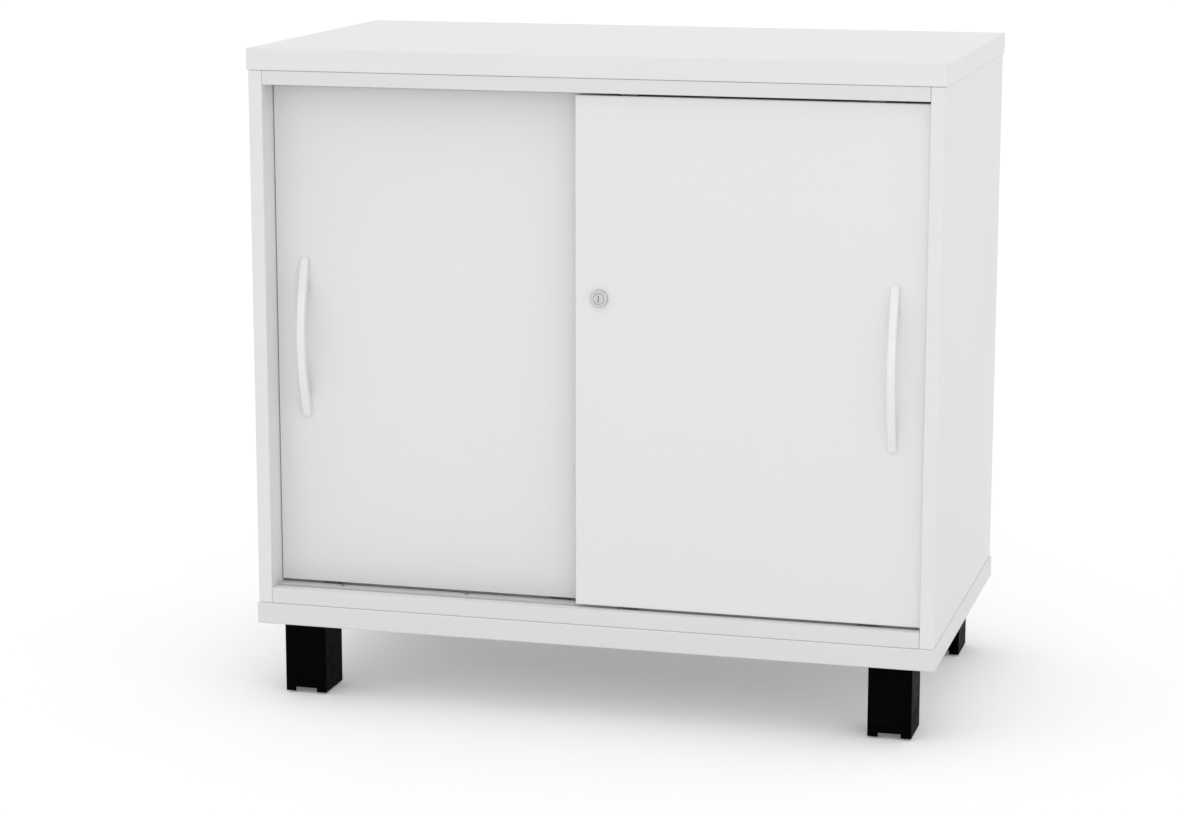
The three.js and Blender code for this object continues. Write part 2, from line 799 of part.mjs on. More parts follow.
function lockPieces() {
  return [
    piece('lock_barrel', lockBarrel(), lockFinish),
    piece('lock_nut', lockNut(), steelFinish),
    piece('lock_plug', lockPlug(), lockFinish),
    piece('lock_cam', lockCam(), steelFinish),
  ];
}

function castorGroup({ name, x, y, trail }) {
  return group(
    x,
    y,
    -castorHeight,
    piece(`castor_${name}_hood`, castorHood(trail), castorFinish),
    piece(`castor_${name}_stem`, castorStem(), steelFinish),
    piece(`castor_${name}_axle`, castorAxle(trail), steelFinish),
    piece(`castor_${name}_wheel_left`, castorWheel(-1, trail), treadFinish),
    piece(`castor_${name}_wheel_right`, castorWheel(1, trail), treadFinish),
  );
}

const cabinet = group(
  0,
  caseFront,
  castorHeight,
  caseGroup(),
  doorGroup('left', -1),
  doorGroup('right', 1),
  ...castorPlaces.map(castorGroup),
);

export default cabinet;
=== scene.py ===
"""A low white office cabinet with two sliding doors, standing on four twin-wheel castors.

Metres, +Z up, the front towards -Y. Each piece is built in the box of the solid that it stands for.
"""
import math

import bmesh
import bpy
from mathutils import Matrix, Vector


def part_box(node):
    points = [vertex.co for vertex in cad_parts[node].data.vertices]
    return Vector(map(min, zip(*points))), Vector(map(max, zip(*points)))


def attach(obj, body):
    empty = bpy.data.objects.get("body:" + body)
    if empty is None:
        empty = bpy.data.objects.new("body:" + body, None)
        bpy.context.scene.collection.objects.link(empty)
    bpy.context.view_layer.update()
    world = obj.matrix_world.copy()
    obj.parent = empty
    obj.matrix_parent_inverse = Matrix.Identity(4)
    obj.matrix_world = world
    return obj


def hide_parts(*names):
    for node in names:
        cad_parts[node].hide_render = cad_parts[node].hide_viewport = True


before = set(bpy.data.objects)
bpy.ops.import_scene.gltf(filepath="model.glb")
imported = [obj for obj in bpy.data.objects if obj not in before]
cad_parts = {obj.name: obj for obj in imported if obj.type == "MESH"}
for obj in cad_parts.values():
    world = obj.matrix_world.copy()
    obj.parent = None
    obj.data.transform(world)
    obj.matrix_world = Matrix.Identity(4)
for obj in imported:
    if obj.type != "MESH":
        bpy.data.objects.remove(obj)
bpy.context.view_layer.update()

MM = 0.001

# Camera, solved from the edges of the case in the photograph
CAMERA_PLACE = (0.8945, -3.5008, 1.0445)
CAMERA_YAW = 15.19
CAMERA_PITCH = 11.27
CAMERA_LENS = 94.22
CAMERA_SENSOR = 36.0

# Light and floor. The floor is paler to the camera than to the light.
SKY_STRENGTH = 0.95
SOFTBOX_PLACE = (0.9, -4.2, 1.1)
SOFTBOX_AIM = (0, 0, 0.45)
SOFTBOX_SIZE = (2.4, 1.6)
SOFTBOX_POWER = 15.0
FLOOR_COLOUR = (0.80, 0.80, 0.80)
FLOOR_SEEN_COLOUR = (0.95, 0.95, 0.95)
FLOOR_SEEN_GLOW = 0.12
FLOOR_HALF = 30.0

# Colours
WHITE = (0.82, 0.82, 0.82)
BLACK = (0.0, 0.0, 0.0)
# Painted light: the doors are a lighter copy of the boards' white
DOOR_PAINTED_LIGHT = 1.015
# Painted shade: the front bands of the inner boards and the base slab are a darker copy of the edge band
INNER_BAND_PAINTED_SHADE = 0.945
BACK_SHADE = 0.97
TRACK_GREY = (0.66, 0.66, 0.66)
HOUSING_GREY = (0.15, 0.15, 0.155)
ROLLER_GREY = (0.13, 0.13, 0.13)
HANDLE_SILVER = (0.87, 0.87, 0.875)
LOCK_NICKEL = (0.60, 0.60, 0.61)
ZINC = (0.58, 0.58, 0.59)
CASTOR_BLACK = (0.0012, 0.0012, 0.0013)
TREAD_BLACK = (0.004, 0.004, 0.0043)

# Painted shade in the corners round the rear door, less of it round the handle
CORNER_SHADE_REACH = 0.2
CORNER_SHADE_SPREAD = 0.6
CORNER_SHADE_DEPTH = 0.16
CORNER_SHADE_SAMPLES = 8
SHADE_EASED_NEAR = 8 * MM
SHADE_EASED_FAR = 32 * MM
SHADE_EASED_STRETCH = 0.15
SHADE_EASED_LEAVES = 0.25

# Most values of a noise lie in this span
NOISE_SPAN = (0.3, 0.7)

# Sockets of a Mix node that mixes colours
MIX_FACTOR = 0
MIX_FIRST = 6
MIX_SECOND = 7
MIX_RESULT = 2

# Edges: the slabs have a thick edge band and the other boards a thin one
SLAB_BAND = 2.0 * MM
SLAB_ROUND = 1.4 * MM
BOARD_BAND = 1.0 * MM
BOARD_ROUND = 0.75 * MM
SEAM = 0.12 * MM
ON_FACE = 0.01 * MM

# Roundings of small parts
HAIR_ROUND = 0.1 * MM
FINE_ROUND = 0.2 * MM
INNER_ROUND = 0.25 * MM
SMALL_ROUND = 0.3 * MM
SOFT_ROUND = 0.5 * MM
FULL_ROUND = 0.8 * MM

# Gaps, and how far a cutting body runs past what it cuts
SEAT_GAP = 0.3 * MM
OVERRUN = 2 * MM

# Tracks
TRACK_WALL = 1.6 * MM
CHANNEL_WIDTH = 9 * MM
TRACK_LIP_ROUND = 0.5 * MM
TRACK_SCREW_RADIUS = 3 * MM
TRACK_SCREW_RISE = 0.35 * MM
TRACK_SCREWS = 5
TRACK_SCREW_SUNK = 2
TRACK_SCREW_DOME = 0.6

# Rollers, housings and guides
ROLLER_SLOT_LENGTH = 27 * MM
ROLLER_SLOT_WIDTH = 7.8 * MM
ROLLER_WIDTH = 6.6 * MM
ROLLER_PIN_RADIUS = 1.5 * MM
ROLLER_GROOVE = 0.8 * MM
ROLLER_DISH = 0.8 * MM
ROLLER_RIM = 0.7
ROLLER_ROUND = 0.9 * MM
HOUSING_ROOF = 1 * MM
HOUSING_ROUND = 0.6 * MM
GUIDE_TONGUE = 7 * MM
GUIDE_ROUNDNESS = 0.9
GUIDE_END = 1 * MM

# Bow handles and screws
HANDLE_BACK_HALF = 70 * MM
HANDLE_WAIST = 5 * MM
HANDLE_END_RISE = 3 * MM
HANDLE_TIP = 5 * MM
HANDLE_TAPER = 0.9
HANDLE_ROUND_SHARE = 0.45
HANDLE_FRONT_ROUND = 2.4 * MM
HANDLE_BACK_ROUND = 0.8 * MM
HANDLE_STATIONS = 60
SCREW_RADIUS = 2 * MM
SCREW_HEAD_HEIGHT = 2.2 * MM
SCREW_DOME = 0.7
SCREW_CROSS = 0.9 * MM

# Lock
BARREL_RADIUS = 9 * MM
PLUG_RADIUS = 6 * MM
PLUG_RECESS = 0.2 * MM
PLUG_SHANK = 0.6
PLUG_RIVET = 0.8
FLANGE_PROUD = 5 * MM
FLANGE_ROUND = 1.1 * MM
FLANGE_LIP = 0.8 * MM
FLANGE_LIP_DROP = 0.5 * MM
KEY_SLOT = (1.4 * MM, 7 * MM)
KEY_SLOT_DEPTH = 4 * MM
CAM_ROUND = 0.3 * MM
STUD_WAIST = 0.58
STUD_COLLAR = 1.3 * MM
STUD_TIP_ROUND = 0.6 * MM
STUD_COLLAR_ROUND = 0.4 * MM

# Shelf pins and their rows of holes
PIN_RADIUS = 2.5 * MM
PIN_BRACKET = 9 * MM
PIN_ROUND = 0.4 * MM
ROW_PITCH = 32 * MM
ROWS_EACH_WAY = 2
ROW_HOLE_DEPTH = 10 * MM

# Castors
CASTORS = ("front_left", "rear_left", "front_right", "rear_right")
HOOD_CORNER = 5 * MM
HOOD_ROUND = 0.8 * MM
HOOD_WALL = 2 * MM
HOOD_SKIRT = 2.4 * MM
HOOD_WEB = 6 * MM
HOOD_ARCH = (26 * MM, 5 * MM)
HOOD_BORE_DEPTH = 26 * MM
WELL_CORNER = 20 * MM
WELL_HEADROOM = 3 * MM
AXLE_CAP_RADIUS = 5 * MM
AXLE_CAP_GROOVE = 0.5 * MM
AXLE_END = 1.2 * MM
AXLE_ROUND = 0.6 * MM
WHEEL_SIDES = 28
TREAD_ROUND = 2.4 * MM
TREAD_DEPTH = 5 * MM
TREAD_GAP = 0.1 * MM
TREAD_INSET = 0.2 * MM
WHEEL_BORE = 3.3 * MM
WHEEL_DISH = 3 * MM
WHEEL_DISH_ROUND = 0.6 * MM
WHEEL_HUB = 8 * MM
WHEEL_RIM = 2 * MM
WHEEL_RIM_INSET = 0.4 * MM
STEM_RADIUS = 4 * MM
STEM_TOP_RADIUS = 5 * MM
STEM_HOLE_DEPTH = 28.5 * MM
COLLAR_THICKNESS = 1.9 * MM
COLLAR_ROUND = 0.7 * MM

# Steps of arcs and turned bodies, and the angles that tell a sharp edge from a smooth one
ROUND_STEPS = 64
SCREW_STEPS = 32
HANDLE_SCREW_STEPS = 40
STUD_STEPS = 48
WHEEL_STEPS = 96
CORNER_STEPS = 6
FEW_STEPS = 3
DISC_CORNER_STEPS = 4
TREAD_CORNER_STEPS = 8
BEVEL_STEPS = 3
CAM_BEVEL_STEPS = 2
FLAT_ANGLE = 0.01
SHARP_ANGLE = math.radians(30)
CREASE_ANGLE = math.radians(60)
TINY = 1e-7


# Camera, floor and light

def link(made):
    bpy.context.scene.collection.objects.link(made)
    return made


def make_camera():
    data = bpy.data.cameras.new("camera")
    data.lens = CAMERA_LENS
    data.sensor_width = CAMERA_SENSOR
    camera = link(bpy.data.objects.new("camera", data))
    camera.location = CAMERA_PLACE
    camera.rotation_euler = (math.radians(90 - CAMERA_PITCH), 0, math.radians(CAMERA_YAW))
    bpy.context.scene.camera = camera


def seen_directly(tree):
    """1 for rays that show a thing to the camera, by itself, in a gloss or through glass."""
    path = tree.nodes.new("ShaderNodeLightPath")
    seen = path.outputs["Is Camera Ray"]
    for name in ("Is Glossy Ray", "Is Transmission Ray"):
        either = tree.nodes.new("ShaderNodeMath")
        either.operation = "MAXIMUM"
        tree.links.new(seen, either.inputs[0])
        tree.links.new(path.outputs[name], either.inputs[1])
        seen = either.outputs[0]
    return seen


def make_world():
    world = bpy.data.worlds.new("studio")
    bpy.context.scene.world = world
    world.use_nodes = True
    tree = world.node_tree
    light = tree.nodes["Background"]
    light.inputs["Strength"].default_value = SKY_STRENGTH
    light.inputs["Color"].default_value = (1, 1, 1, 1)
    white = tree.nodes.new("ShaderNodeBackground")
    white.inputs["Color"].default_value = (1, 1, 1, 1)
    mix = tree.nodes.new("ShaderNodeMixShader")
    tree.links.new(seen_directly(tree), mix.inputs[0])
    tree.links.new(light.outputs[0], mix.inputs[1])
    tree.links.new(white.outputs[0], mix.inputs[2])
    tree.links.new(mix.outputs[0], tree.nodes["World Output"].inputs["Surface"])


def make_floor():
    bm = bmesh.new()
    bmesh.ops.create_grid(bm, x_segments=1, y_segments=1, size=FLOOR_HALF)
    floor = mesh_object("floor", bm)
    material = bpy.data.materials.new("floor")
    material.use_nodes = True
    tree = material.node_tree
    tree.nodes.remove(tree.nodes["Principled BSDF"])
    plain = tree.nodes.new("ShaderNodeBsdfDiffuse")
    plain.inputs["Color"].default_value = (*FLOOR_COLOUR, 1)
    pale = tree.nodes.new("ShaderNodeBsdfDiffuse")
    pale.inputs["Color"].default_value = (*FLOOR_SEEN_COLOUR, 1)
    glow = tree.nodes.new("ShaderNodeEmission")
    glow.inputs["Strength"].default_value = FLOOR_SEEN_GLOW
    both = tree.nodes.new("ShaderNodeAddShader")
    tree.links.new(pale.outputs[0], both.inputs[0])
    tree.links.new(glow.outputs[0], both.inputs[1])
    mix = tree.nodes.new("ShaderNodeMixShader")
    tree.links.new(seen_directly(tree), mix.inputs[0])
    tree.links.new(plain.outputs[0], mix.inputs[1])
    tree.links.new(both.outputs[0], mix.inputs[2])
    tree.links.new(mix.outputs[0], tree.nodes["Material Output"].inputs["Surface"])
    floor.data.materials.append(material)


def make_softbox():
    data = bpy.data.lights.new("softbox", "AREA")
    data.shape = "RECTANGLE"
    data.size, data.size_y = SOFTBOX_SIZE
    data.energy = SOFTBOX_POWER
    lamp = link(bpy.data.objects.new("softbox", data))
    lamp.location = SOFTBOX_PLACE
    aim = Vector(SOFTBOX_AIM) - Vector(SOFTBOX_PLACE)
    lamp.rotation_euler = aim.to_track_quat("-Z", "Y").to_euler()


# Materials

def shade(colour, factor):
    return tuple(channel * factor for channel in colour)


class Paint:
    """A material under construction. Its patterns are laid out in metres, in the piece's own space."""

    def __init__(self, name, colour, roughness, metallic=0.0, specular=0.5):
        self.material = bpy.data.materials.new(name)
        self.material.use_nodes = True
        self.tree = self.material.node_tree
        self.shader = self.tree.nodes["Principled BSDF"]
        self.colour = colour
        self.shader.inputs["Base Color"].default_value = (*colour, 1)
        self.shader.inputs["Roughness"].default_value = roughness
        self.shader.inputs["Metallic"].default_value = metallic
        self.shader.inputs["Specular IOR Level"].default_value = specular
        self.points = self.add("ShaderNodeTexCoord").outputs["Object"]

    def add(self, kind, inputs=None, **settings):
        made = self.tree.nodes.new(kind)
        for key, value in settings.items():
            setattr(made, key, value)
        for key, value in (inputs or {}).items():
            self.feed(made.inputs[key], value)
        return made

    def feed(self, socket, value):
        if isinstance(value, bpy.types.NodeSocket):
            self.tree.links.new(value, socket)
        else:
            socket.default_value = value

    def stretched(self, scale, points=None):
        inputs = {"Vector": points or self.points, "Scale": scale}
        return self.add("ShaderNodeMapping", inputs).outputs["Vector"]

    def measured_from(self, centre, scale):
        inputs = {"Vector": self.points, "Location": tuple(-place for place in centre)}
        return self.stretched(scale, self.add("ShaderNodeMapping", inputs).outputs["Vector"])

    def noise(self, scale, detail=3.0, points=None):
        inputs = {"Vector": points or self.points, "Scale": scale, "Detail": detail}
        return self.add("ShaderNodeTexNoise", inputs).outputs["Fac"]

    def spread(self, value, low, high, to_low, to_high):
        inputs = {"Value": value, "From Min": low, "From Max": high, "To Min": to_low, "To Max": to_high}
        return self.add("ShaderNodeMapRange", inputs).outputs["Result"]

    def reckon(self, operation, first, second):
        return self.add("ShaderNodeMath", {0: first, 1: second}, operation=operation).outputs[0]

    def tint(self, factor, colour):
        """Mixes the colour so far with another, by factor."""
        mix = self.add("ShaderNodeMix", data_type="RGBA")
        self.feed(mix.inputs[MIX_FACTOR], factor)
        base = self.shader.inputs["Base Color"]
        so_far = base.links[0].from_socket if base.links else (*self.colour, 1)
        self.feed(mix.inputs[MIX_FIRST], so_far)
        self.feed(mix.inputs[MIX_SECOND], (*colour, 1))
        self.feed(base, mix.outputs[MIX_RESULT])

    def mottle(self, pattern, start, full, most, by):
        """Tints towards the colour's own shade as a pattern rises from start to full."""
        self.tint(self.spread(pattern, start, full, 0.0, most), shade(self.colour, by))

    def corners(self, shade_eased_at):
        """Paints shade into the colour where other surfaces stand close by, less of it round a given
        place.
        """
        near = self.add("ShaderNodeAmbientOcclusion", {"Distance": CORNER_SHADE_REACH}, samples=CORNER_SHADE_SAMPLES)
        blocked = self.spread(near.outputs["AO"], low=0.0, high=1.0, to_low=1.0, to_high=0.0)
        corner_shade = self.reckon("POWER", blocked, CORNER_SHADE_SPREAD)
        points = self.measured_from(shade_eased_at, (1.0, 0.0, SHADE_EASED_STRETCH))
        away = self.add("ShaderNodeVectorMath", {0: points}, operation="LENGTH").outputs["Value"]
        depth = self.spread(away, SHADE_EASED_NEAR, SHADE_EASED_FAR, SHADE_EASED_LEAVES * CORNER_SHADE_DEPTH, CORNER_SHADE_DEPTH)
        self.tint(self.reckon("MULTIPLY", corner_shade, depth), BLACK)

    def rough(self, pattern, low, high):
        self.feed(self.shader.inputs["Roughness"], self.spread(pattern, *NOISE_SPAN, low, high))

    def bump(self, height, depth, strength=1.0):
        normal = self.shader.inputs["Normal"]
        inputs = {"Height": height, "Distance": depth, "Strength": strength}
        if normal.links:
            inputs["Normal"] = normal.links[0].from_socket
        self.feed(normal, self.add("ShaderNodeBump", inputs).outputs["Normal"])


def melamine(name, colour, shade_eased_at=None):
    """Melamine-faced board: a fine pearl grain, faint clouds and the odd smear.

    With a given place it also has painted shade in its corners, less of it round that place.
    """
    paint = Paint(name, colour, roughness=0.42, specular=0.5)
    paint.mottle(paint.noise(scale=2.3, detail=2.0), start=0.3, full=0.7, most=1.0, by=0.985)
    paint.mottle(paint.noise(scale=420.0, detail=2.0), start=0.45, full=0.7, most=0.5, by=0.975)
    if shade_eased_at is not None:
        paint.corners(shade_eased_at)
    smears = paint.noise(scale=7.0, detail=4.0, points=paint.stretched((1.0, 1.0, 0.35)))
    paint.rough(smears, low=0.37, high=0.48)
    paint.bump(paint.noise(scale=760.0, detail=2.0), depth=0.06 * MM, strength=0.5)
    paint.bump(paint.noise(scale=9.0, detail=1.0), depth=0.4 * MM, strength=0.12)
    return paint.material


def edge_band(name, colour):
    """Edge band: planed smooth, with fine streaks from the scraper and small knocks."""
    paint = Paint(name, colour, roughness=0.38, specular=0.45)
    streaks = paint.noise(scale=240.0, detail=2.0, points=paint.stretched((0.04, 0.5, 0.5)))
    paint.mottle(streaks, start=0.35, full=0.7, most=0.6, by=0.965)
    knocks = paint.noise(scale=95.0, detail=2.0)
    paint.mottle(knocks, start=0.70, full=0.76, most=0.5, by=0.86)
    paint.rough(streaks, low=0.32, high=0.46)
    paint.bump(streaks, depth=0.05 * MM, strength=0.4)
    dents = paint.spread(knocks, low=0.68, high=0.76, to_low=1.0, to_high=0.0)
    paint.bump(dents, depth=0.10 * MM, strength=0.4)
    return paint.material


def back_board(name, colour):
    """Painted hardboard: duller and slightly mottled."""
    paint = Paint(name, colour, roughness=0.62, specular=0.3)
    paint.mottle(paint.noise(scale=5.0, detail=4.0), start=0.3, full=0.7, most=1.0, by=0.95)
    paint.mottle(paint.noise(scale=300.0, detail=3.0), start=0.5, full=0.75, most=0.6, by=0.9)
    paint.rough(paint.noise(scale=20.0), low=0.55, high=0.7)
    paint.bump(paint.noise(scale=350.0, detail=4.0), depth=0.08 * MM, strength=0.5)
    return paint.material


def plastic(name, colour, roughness, grain, depth, specular=0.4, scuffs=1.5):
    """Moulded plastic: an even spark-eroded grain, with paler rubbed spots where scuffs is above 1."""
    paint = Paint(name, colour, roughness, specular=specular)
    paint.mottle(paint.noise(scale=38.0, detail=5.0), start=0.55, full=0.72, most=0.7, by=scuffs)
    paint.rough(paint.noise(scale=60.0, detail=4.0), low=roughness - 0.06, high=roughness + 0.08)
    paint.bump(paint.noise(scale=grain, detail=2.0), depth, strength=0.6)
    return paint.material


def drawn_plastic(name, colour):
    """Extruded plastic: fine die lines along X."""
    paint = Paint(name, colour, roughness=0.42, specular=0.45)
    lines = paint.noise(scale=900.0, detail=2.0, points=paint.stretched((0.004, 1.0, 1.0)))
    paint.mottle(lines, start=0.35, full=0.7, most=0.8, by=0.93)
    paint.mottle(paint.noise(scale=14.0, detail=4.0), start=0.55, full=0.8, most=0.7, by=0.86)
    paint.rough(lines, low=0.34, high=0.5)
    paint.bump(lines, depth=0.06 * MM, strength=0.6)
    return paint.material


def lacquered_metal(name, colour, along, roughness, metallic):
    """Silver lacquer over metal that was brushed along one axis, with a few dull patches."""
    paint = Paint(name, colour, roughness, metallic=metallic)
    stretch = [1.0, 1.0, 1.0]
    stretch["XYZ".index(along)] = 0.03
    marks = paint.noise(scale=1500.0, detail=3.0, points=paint.stretched(stretch))
    paint.mottle(marks, start=0.35, full=0.7, most=0.6, by=0.93)
    paint.mottle(paint.noise(scale=30.0, detail=4.0), start=0.5, full=0.8, most=0.5, by=0.9)
    paint.rough(marks, low=roughness - 0.05, high=roughness + 0.1)
    paint.bump(marks, depth=0.03 * MM, strength=0.5)
    return paint.material


def turned_metal(name, colour, centre):
    """Plated metal with the fine rings that the lathe left round an axis along Y."""
    paint = Paint(name, colour, roughness=0.3, metallic=1.0)
    points = paint.measured_from(centre, (1.0, 0.0, 1.0))
    inputs = {"Vector": points, "Scale": 600.0, "Distortion": 1.0, "Detail": 2.0}
    wave = paint.add("ShaderNodeTexWave", inputs, wave_type="RINGS", rings_direction="SPHERICAL")
    rings = wave.outputs["Fac"]
    paint.mottle(rings, start=0.2, full=0.8, most=0.5, by=0.8)
    paint.mottle(paint.noise(scale=160.0, detail=4.0), start=0.55, full=0.8, most=0.6, by=0.7)
    paint.rough(paint.noise(scale=220.0, detail=3.0), low=0.24, high=0.4)
    paint.bump(rings, depth=0.02 * MM, strength=0.4)
    return paint.material


def zinc_plate(name, colour):
    """Zinc-plated steel: cloudy, with tiny spangles."""
    paint = Paint(name, colour, roughness=0.36, metallic=1.0)
    spangle = paint.add("ShaderNodeTexVoronoi", {"Vector": paint.points, "Scale": 700.0})
    paint.mottle(spangle.outputs["Distance"], start=0.0, full=0.8, most=0.5, by=0.82)
    paint.mottle(paint.noise(scale=90.0, detail=4.0), start=0.45, full=0.75, most=0.8, by=0.72)
    paint.rough(paint.noise(scale=140.0, detail=4.0), low=0.28, high=0.48)
    paint.bump(paint.noise(scale=900.0, detail=2.0), depth=0.03 * MM, strength=0.4)
    return paint.material


def worn_tread(name, colour):
    """The running face of a wheel: scuffed round, with a little floor dust in it."""
    paint = Paint(name, colour, roughness=0.6, specular=0.12)
    marks = paint.noise(scale=120.0, detail=5.0, points=paint.stretched((0.25, 1.0, 1.0)))
    paint.mottle(marks, start=0.5, full=0.7, most=0.8, by=2.2)
    paint.mottle(paint.noise(scale=480.0, detail=3.0), start=0.6, full=0.75, most=0.5, by=5.0)
    paint.rough(marks, low=0.52, high=0.75)
    paint.bump(marks, depth=0.12 * MM, strength=0.6)
    return paint.material


# Shapes

def mesh_object(name, bm):
    mesh = bpy.data.meshes.new(name)
    bm.to_mesh(mesh)
    bm.free()
    return link(bpy.data.objects.new(name, mesh))


def discard(made):
    mesh = made.data
    bpy.data.objects.remove(made)
    bpy.data.meshes.remove(mesh)


def applied(made):
    """A mesh of the object with its modifiers applied."""
    bpy.context.view_layer.update()
    graph = bpy.context.evaluated_depsgraph_get()
    return bpy.data.meshes.new_from_object(made.evaluated_get(graph))


def combined(shell, others, operation):
    """The closed shell with others cut out of it (DIFFERENCE) or joined to it (UNION)."""
    solid = mesh_object("solid", shell)
    tools = [mesh_object("tool", other) for other in others]
    for tool in tools:
        step = solid.modifiers.new("step", "BOOLEAN")
        step.operation = operation
        step.solver = "EXACT"
        step.object = tool
    mesh = applied(solid)
    for made in (solid, *tools):
        discard(made)
    result = bmesh.new()
    result.from_mesh(mesh)
    bpy.data.meshes.remove(mesh)
    return result


def box_shell(low, high):
    low, high = Vector(low), Vector(high)
    bm = bmesh.new()
    size = Matrix.Diagonal((*(high - low), 1))
    bmesh.ops.create_cube(bm, size=1, matrix=Matrix.Translation((low + high) / 2) @ size)
    return bm


def rounded(corners, steps=CORNER_STEPS):
    """Points of an outline through corners (u, v, radius), each turned by an arc of its radius."""
    points = []
    for index, (u, v, radius) in enumerate(corners):
        here = Vector((u, v))
        if radius == 0:
            points.append(here)
            continue
        before = (Vector(corners[index - 1][:2]) - here).normalized()
        after = (Vector(corners[(index + 1) % len(corners)][:2]) - here).normalized()
        half = before.angle(after) / 2
        centre = here + (before + after).normalized() * radius / math.sin(half)
        start = here + before * radius / math.tan(half) - centre
        end = here + after * radius / math.tan(half) - centre
        turn = start.angle_signed(end)
        for step in range(steps + 1):
            points.append(centre + Matrix.Rotation(-turn * step / steps, 2) @ start)
    return points


def along_axis(axis, across, height, along):
    """A point from two places across an axis and one along it: (Y, Z), (X, Z) or (X, Y) across."""
    if axis == "X":
        return Vector((along, across, height))
    if axis == "Y":
        return Vector((across, along, height))
    return Vector((across, height, along))


def ring_faces(bm, rings, closed):
    """Joins each ring of vertices to the next, and the last to the first where closed."""
    following = rings[1:] + (rings[:1] if closed else [])
    for low, high in zip(rings, following):
        count = max(len(low), len(high))
        for index in range(count):
            after = (index + 1) % count
            corners = [
                low[index % len(low)],
                low[after % len(low)],
                high[after % len(high)],
                high[index % len(high)],
            ]
            bm.faces.new(dict.fromkeys(corners))


def turned_shell(outline, axis, centre, steps=ROUND_STEPS):
    """A body turned from points (radius, place along the axis), a loop or one from axis to axis."""
    bm = bmesh.new()
    centre = Vector(centre)
    rings = []
    for radius, along in outline:
        count = 1 if radius < TINY else steps
        angles = [2 * math.pi * index / count for index in range(count)]
        rings.append([
            bm.verts.new(centre + along_axis(
                axis, radius * math.cos(angle), radius * math.sin(angle), along,
            ))
            for angle in angles
        ])
    ring_faces(bm, rings, closed=outline[0][0] > TINY)
    bmesh.ops.recalc_face_normals(bm, faces=bm.faces)
    return bm


def rod_shell(radius, axis, centre, low, high, corner=0.0, steps=ROUND_STEPS):
    outline = rounded([(0, low, 0), (radius, low, corner), (radius, high, corner), (0, high, 0)])
    return turned_shell(outline, axis, centre, steps)


def prism_shell(outline, axis, low, high):
    """An outline pushed along an axis from low to high."""
    bm = bmesh.new()
    rings = [
        [bm.verts.new(along_axis(axis, u, v, along)) for u, v in outline]
        for along in (low, high)
    ]
    ring_faces(bm, rings, closed=False)
    for ring in rings:
        bm.faces.new(ring)
    bmesh.ops.recalc_face_normals(bm, faces=bm.faces)
    return bm


def lofted_shell(rings):
    """A body through rings of points, closed at both ends."""
    bm = bmesh.new()
    made = [[bm.verts.new(point) for point in ring] for ring in rings]
    ring_faces(bm, made, closed=False)
    for ring in (made[0], made[-1]):
        bm.faces.new(ring)
    bmesh.ops.recalc_face_normals(bm, faces=bm.faces)
    return bm


def edge_weights(bm, low, high, outer, inner):
    """Gives sharp edges of the box the outer weight, and all other sharp edges the inner one."""
    layer = bm.edges.layers.float.new("bevel_weight_edge")
    for edge in bm.edges:
        if len(edge.link_faces) != 2 or edge.calc_face_angle() < SHARP_ANGLE:
            continue
        ends = [vertex.co for vertex in edge.verts]
        faces_met = sum(
            all(abs(end[axis] - bound[axis]) < ON_FACE for end in ends)
            for axis in range(3)
            for bound in (low, high)
        )
        edge[layer] = outer if faces_met >= 2 else inner


def piece(name, shells, body, paints, stands_for=(), outer=0.0, inner=0.0, steps=BEVEL_STEPS):
    """One piece from closed shells, given as (shell, paint number), with its sharp edges rounded.

    outer is the rounding of the edges of the piece's own box, and inner that of all its other edges.
    """
    joined = bmesh.new()
    for shell, paint in shells:
        scrap = bpy.data.meshes.new("scrap")
        for face in shell.faces:
            face.material_index = paint
            face.smooth = True
        shell.to_mesh(scrap)
        shell.free()
        joined.from_mesh(scrap)
        bpy.data.meshes.remove(scrap)
    width = max(outer, inner)
    if width:
        corners = [vertex.co for vertex in joined.verts]
        low = Vector(min(corner[axis] for corner in corners) for axis in range(3))
        high = Vector(max(corner[axis] for corner in corners) for axis in range(3))
        edge_weights(joined, low, high, outer / width, inner / width)
    made = mesh_object(name, joined)
    for paint in paints:
        made.data.materials.append(paint)
    if width:
        soften = made.modifiers.new("soften", "BEVEL")
        soften.limit_method = "WEIGHT"
        soften.width = width
        soften.segments = steps
        soften.use_clamp_overlap = False
    made.data.set_sharp_from_angle(angle=CREASE_ANGLE)
    level = made.modifiers.new("level", "WEIGHTED_NORMAL")
    level.keep_sharp = True
    mesh = applied(made)
    made.modifiers.clear()
    old = made.data
    made.data = mesh
    bpy.data.meshes.remove(old)
    mesh.name = name
    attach(made, body)
    if stands_for:
        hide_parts(*stands_for)
    return made


def grown(node, by=SEAT_GAP):
    low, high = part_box(node)
    margin = Vector((by, by, by))
    return low - margin, high + margin


def middle(node):
    low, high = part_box(node)
    return (low + high) / 2


def banded_shells(low, high, banded, band, cutters):
    """A board's core and its edge bands. banded names the banded sides, the longest bands first."""
    low, high = Vector(low), Vector(high)
    shells = []
    for side in banded:
        axis = "XYZ".index(side[1])
        strip_low, strip_high = low.copy(), high.copy()
        if side[0] == "+":
            strip_low[axis] = high[axis] = high[axis] - band
        else:
            strip_high[axis] = low[axis] = low[axis] + band
        shells.append((carved_box(strip_low, strip_high, cutters), 1))
    return [(carved_box(low, high, cutters), 0), *shells]


def carved_box(low, high, cutters):
    """The box less those cutters, given as (low, high, make), whose own box meets it."""
    met = [
        make() for cut_low, cut_high, make in cutters
        if all(cut_low[axis] < high[axis] and cut_high[axis] > low[axis] for axis in range(3))
    ]
    shell = box_shell(low, high)
    return combined(shell, met, "DIFFERENCE") if met else shell


def box_cutter(low, high):
    return Vector(low), Vector(high), lambda: box_shell(low, high)


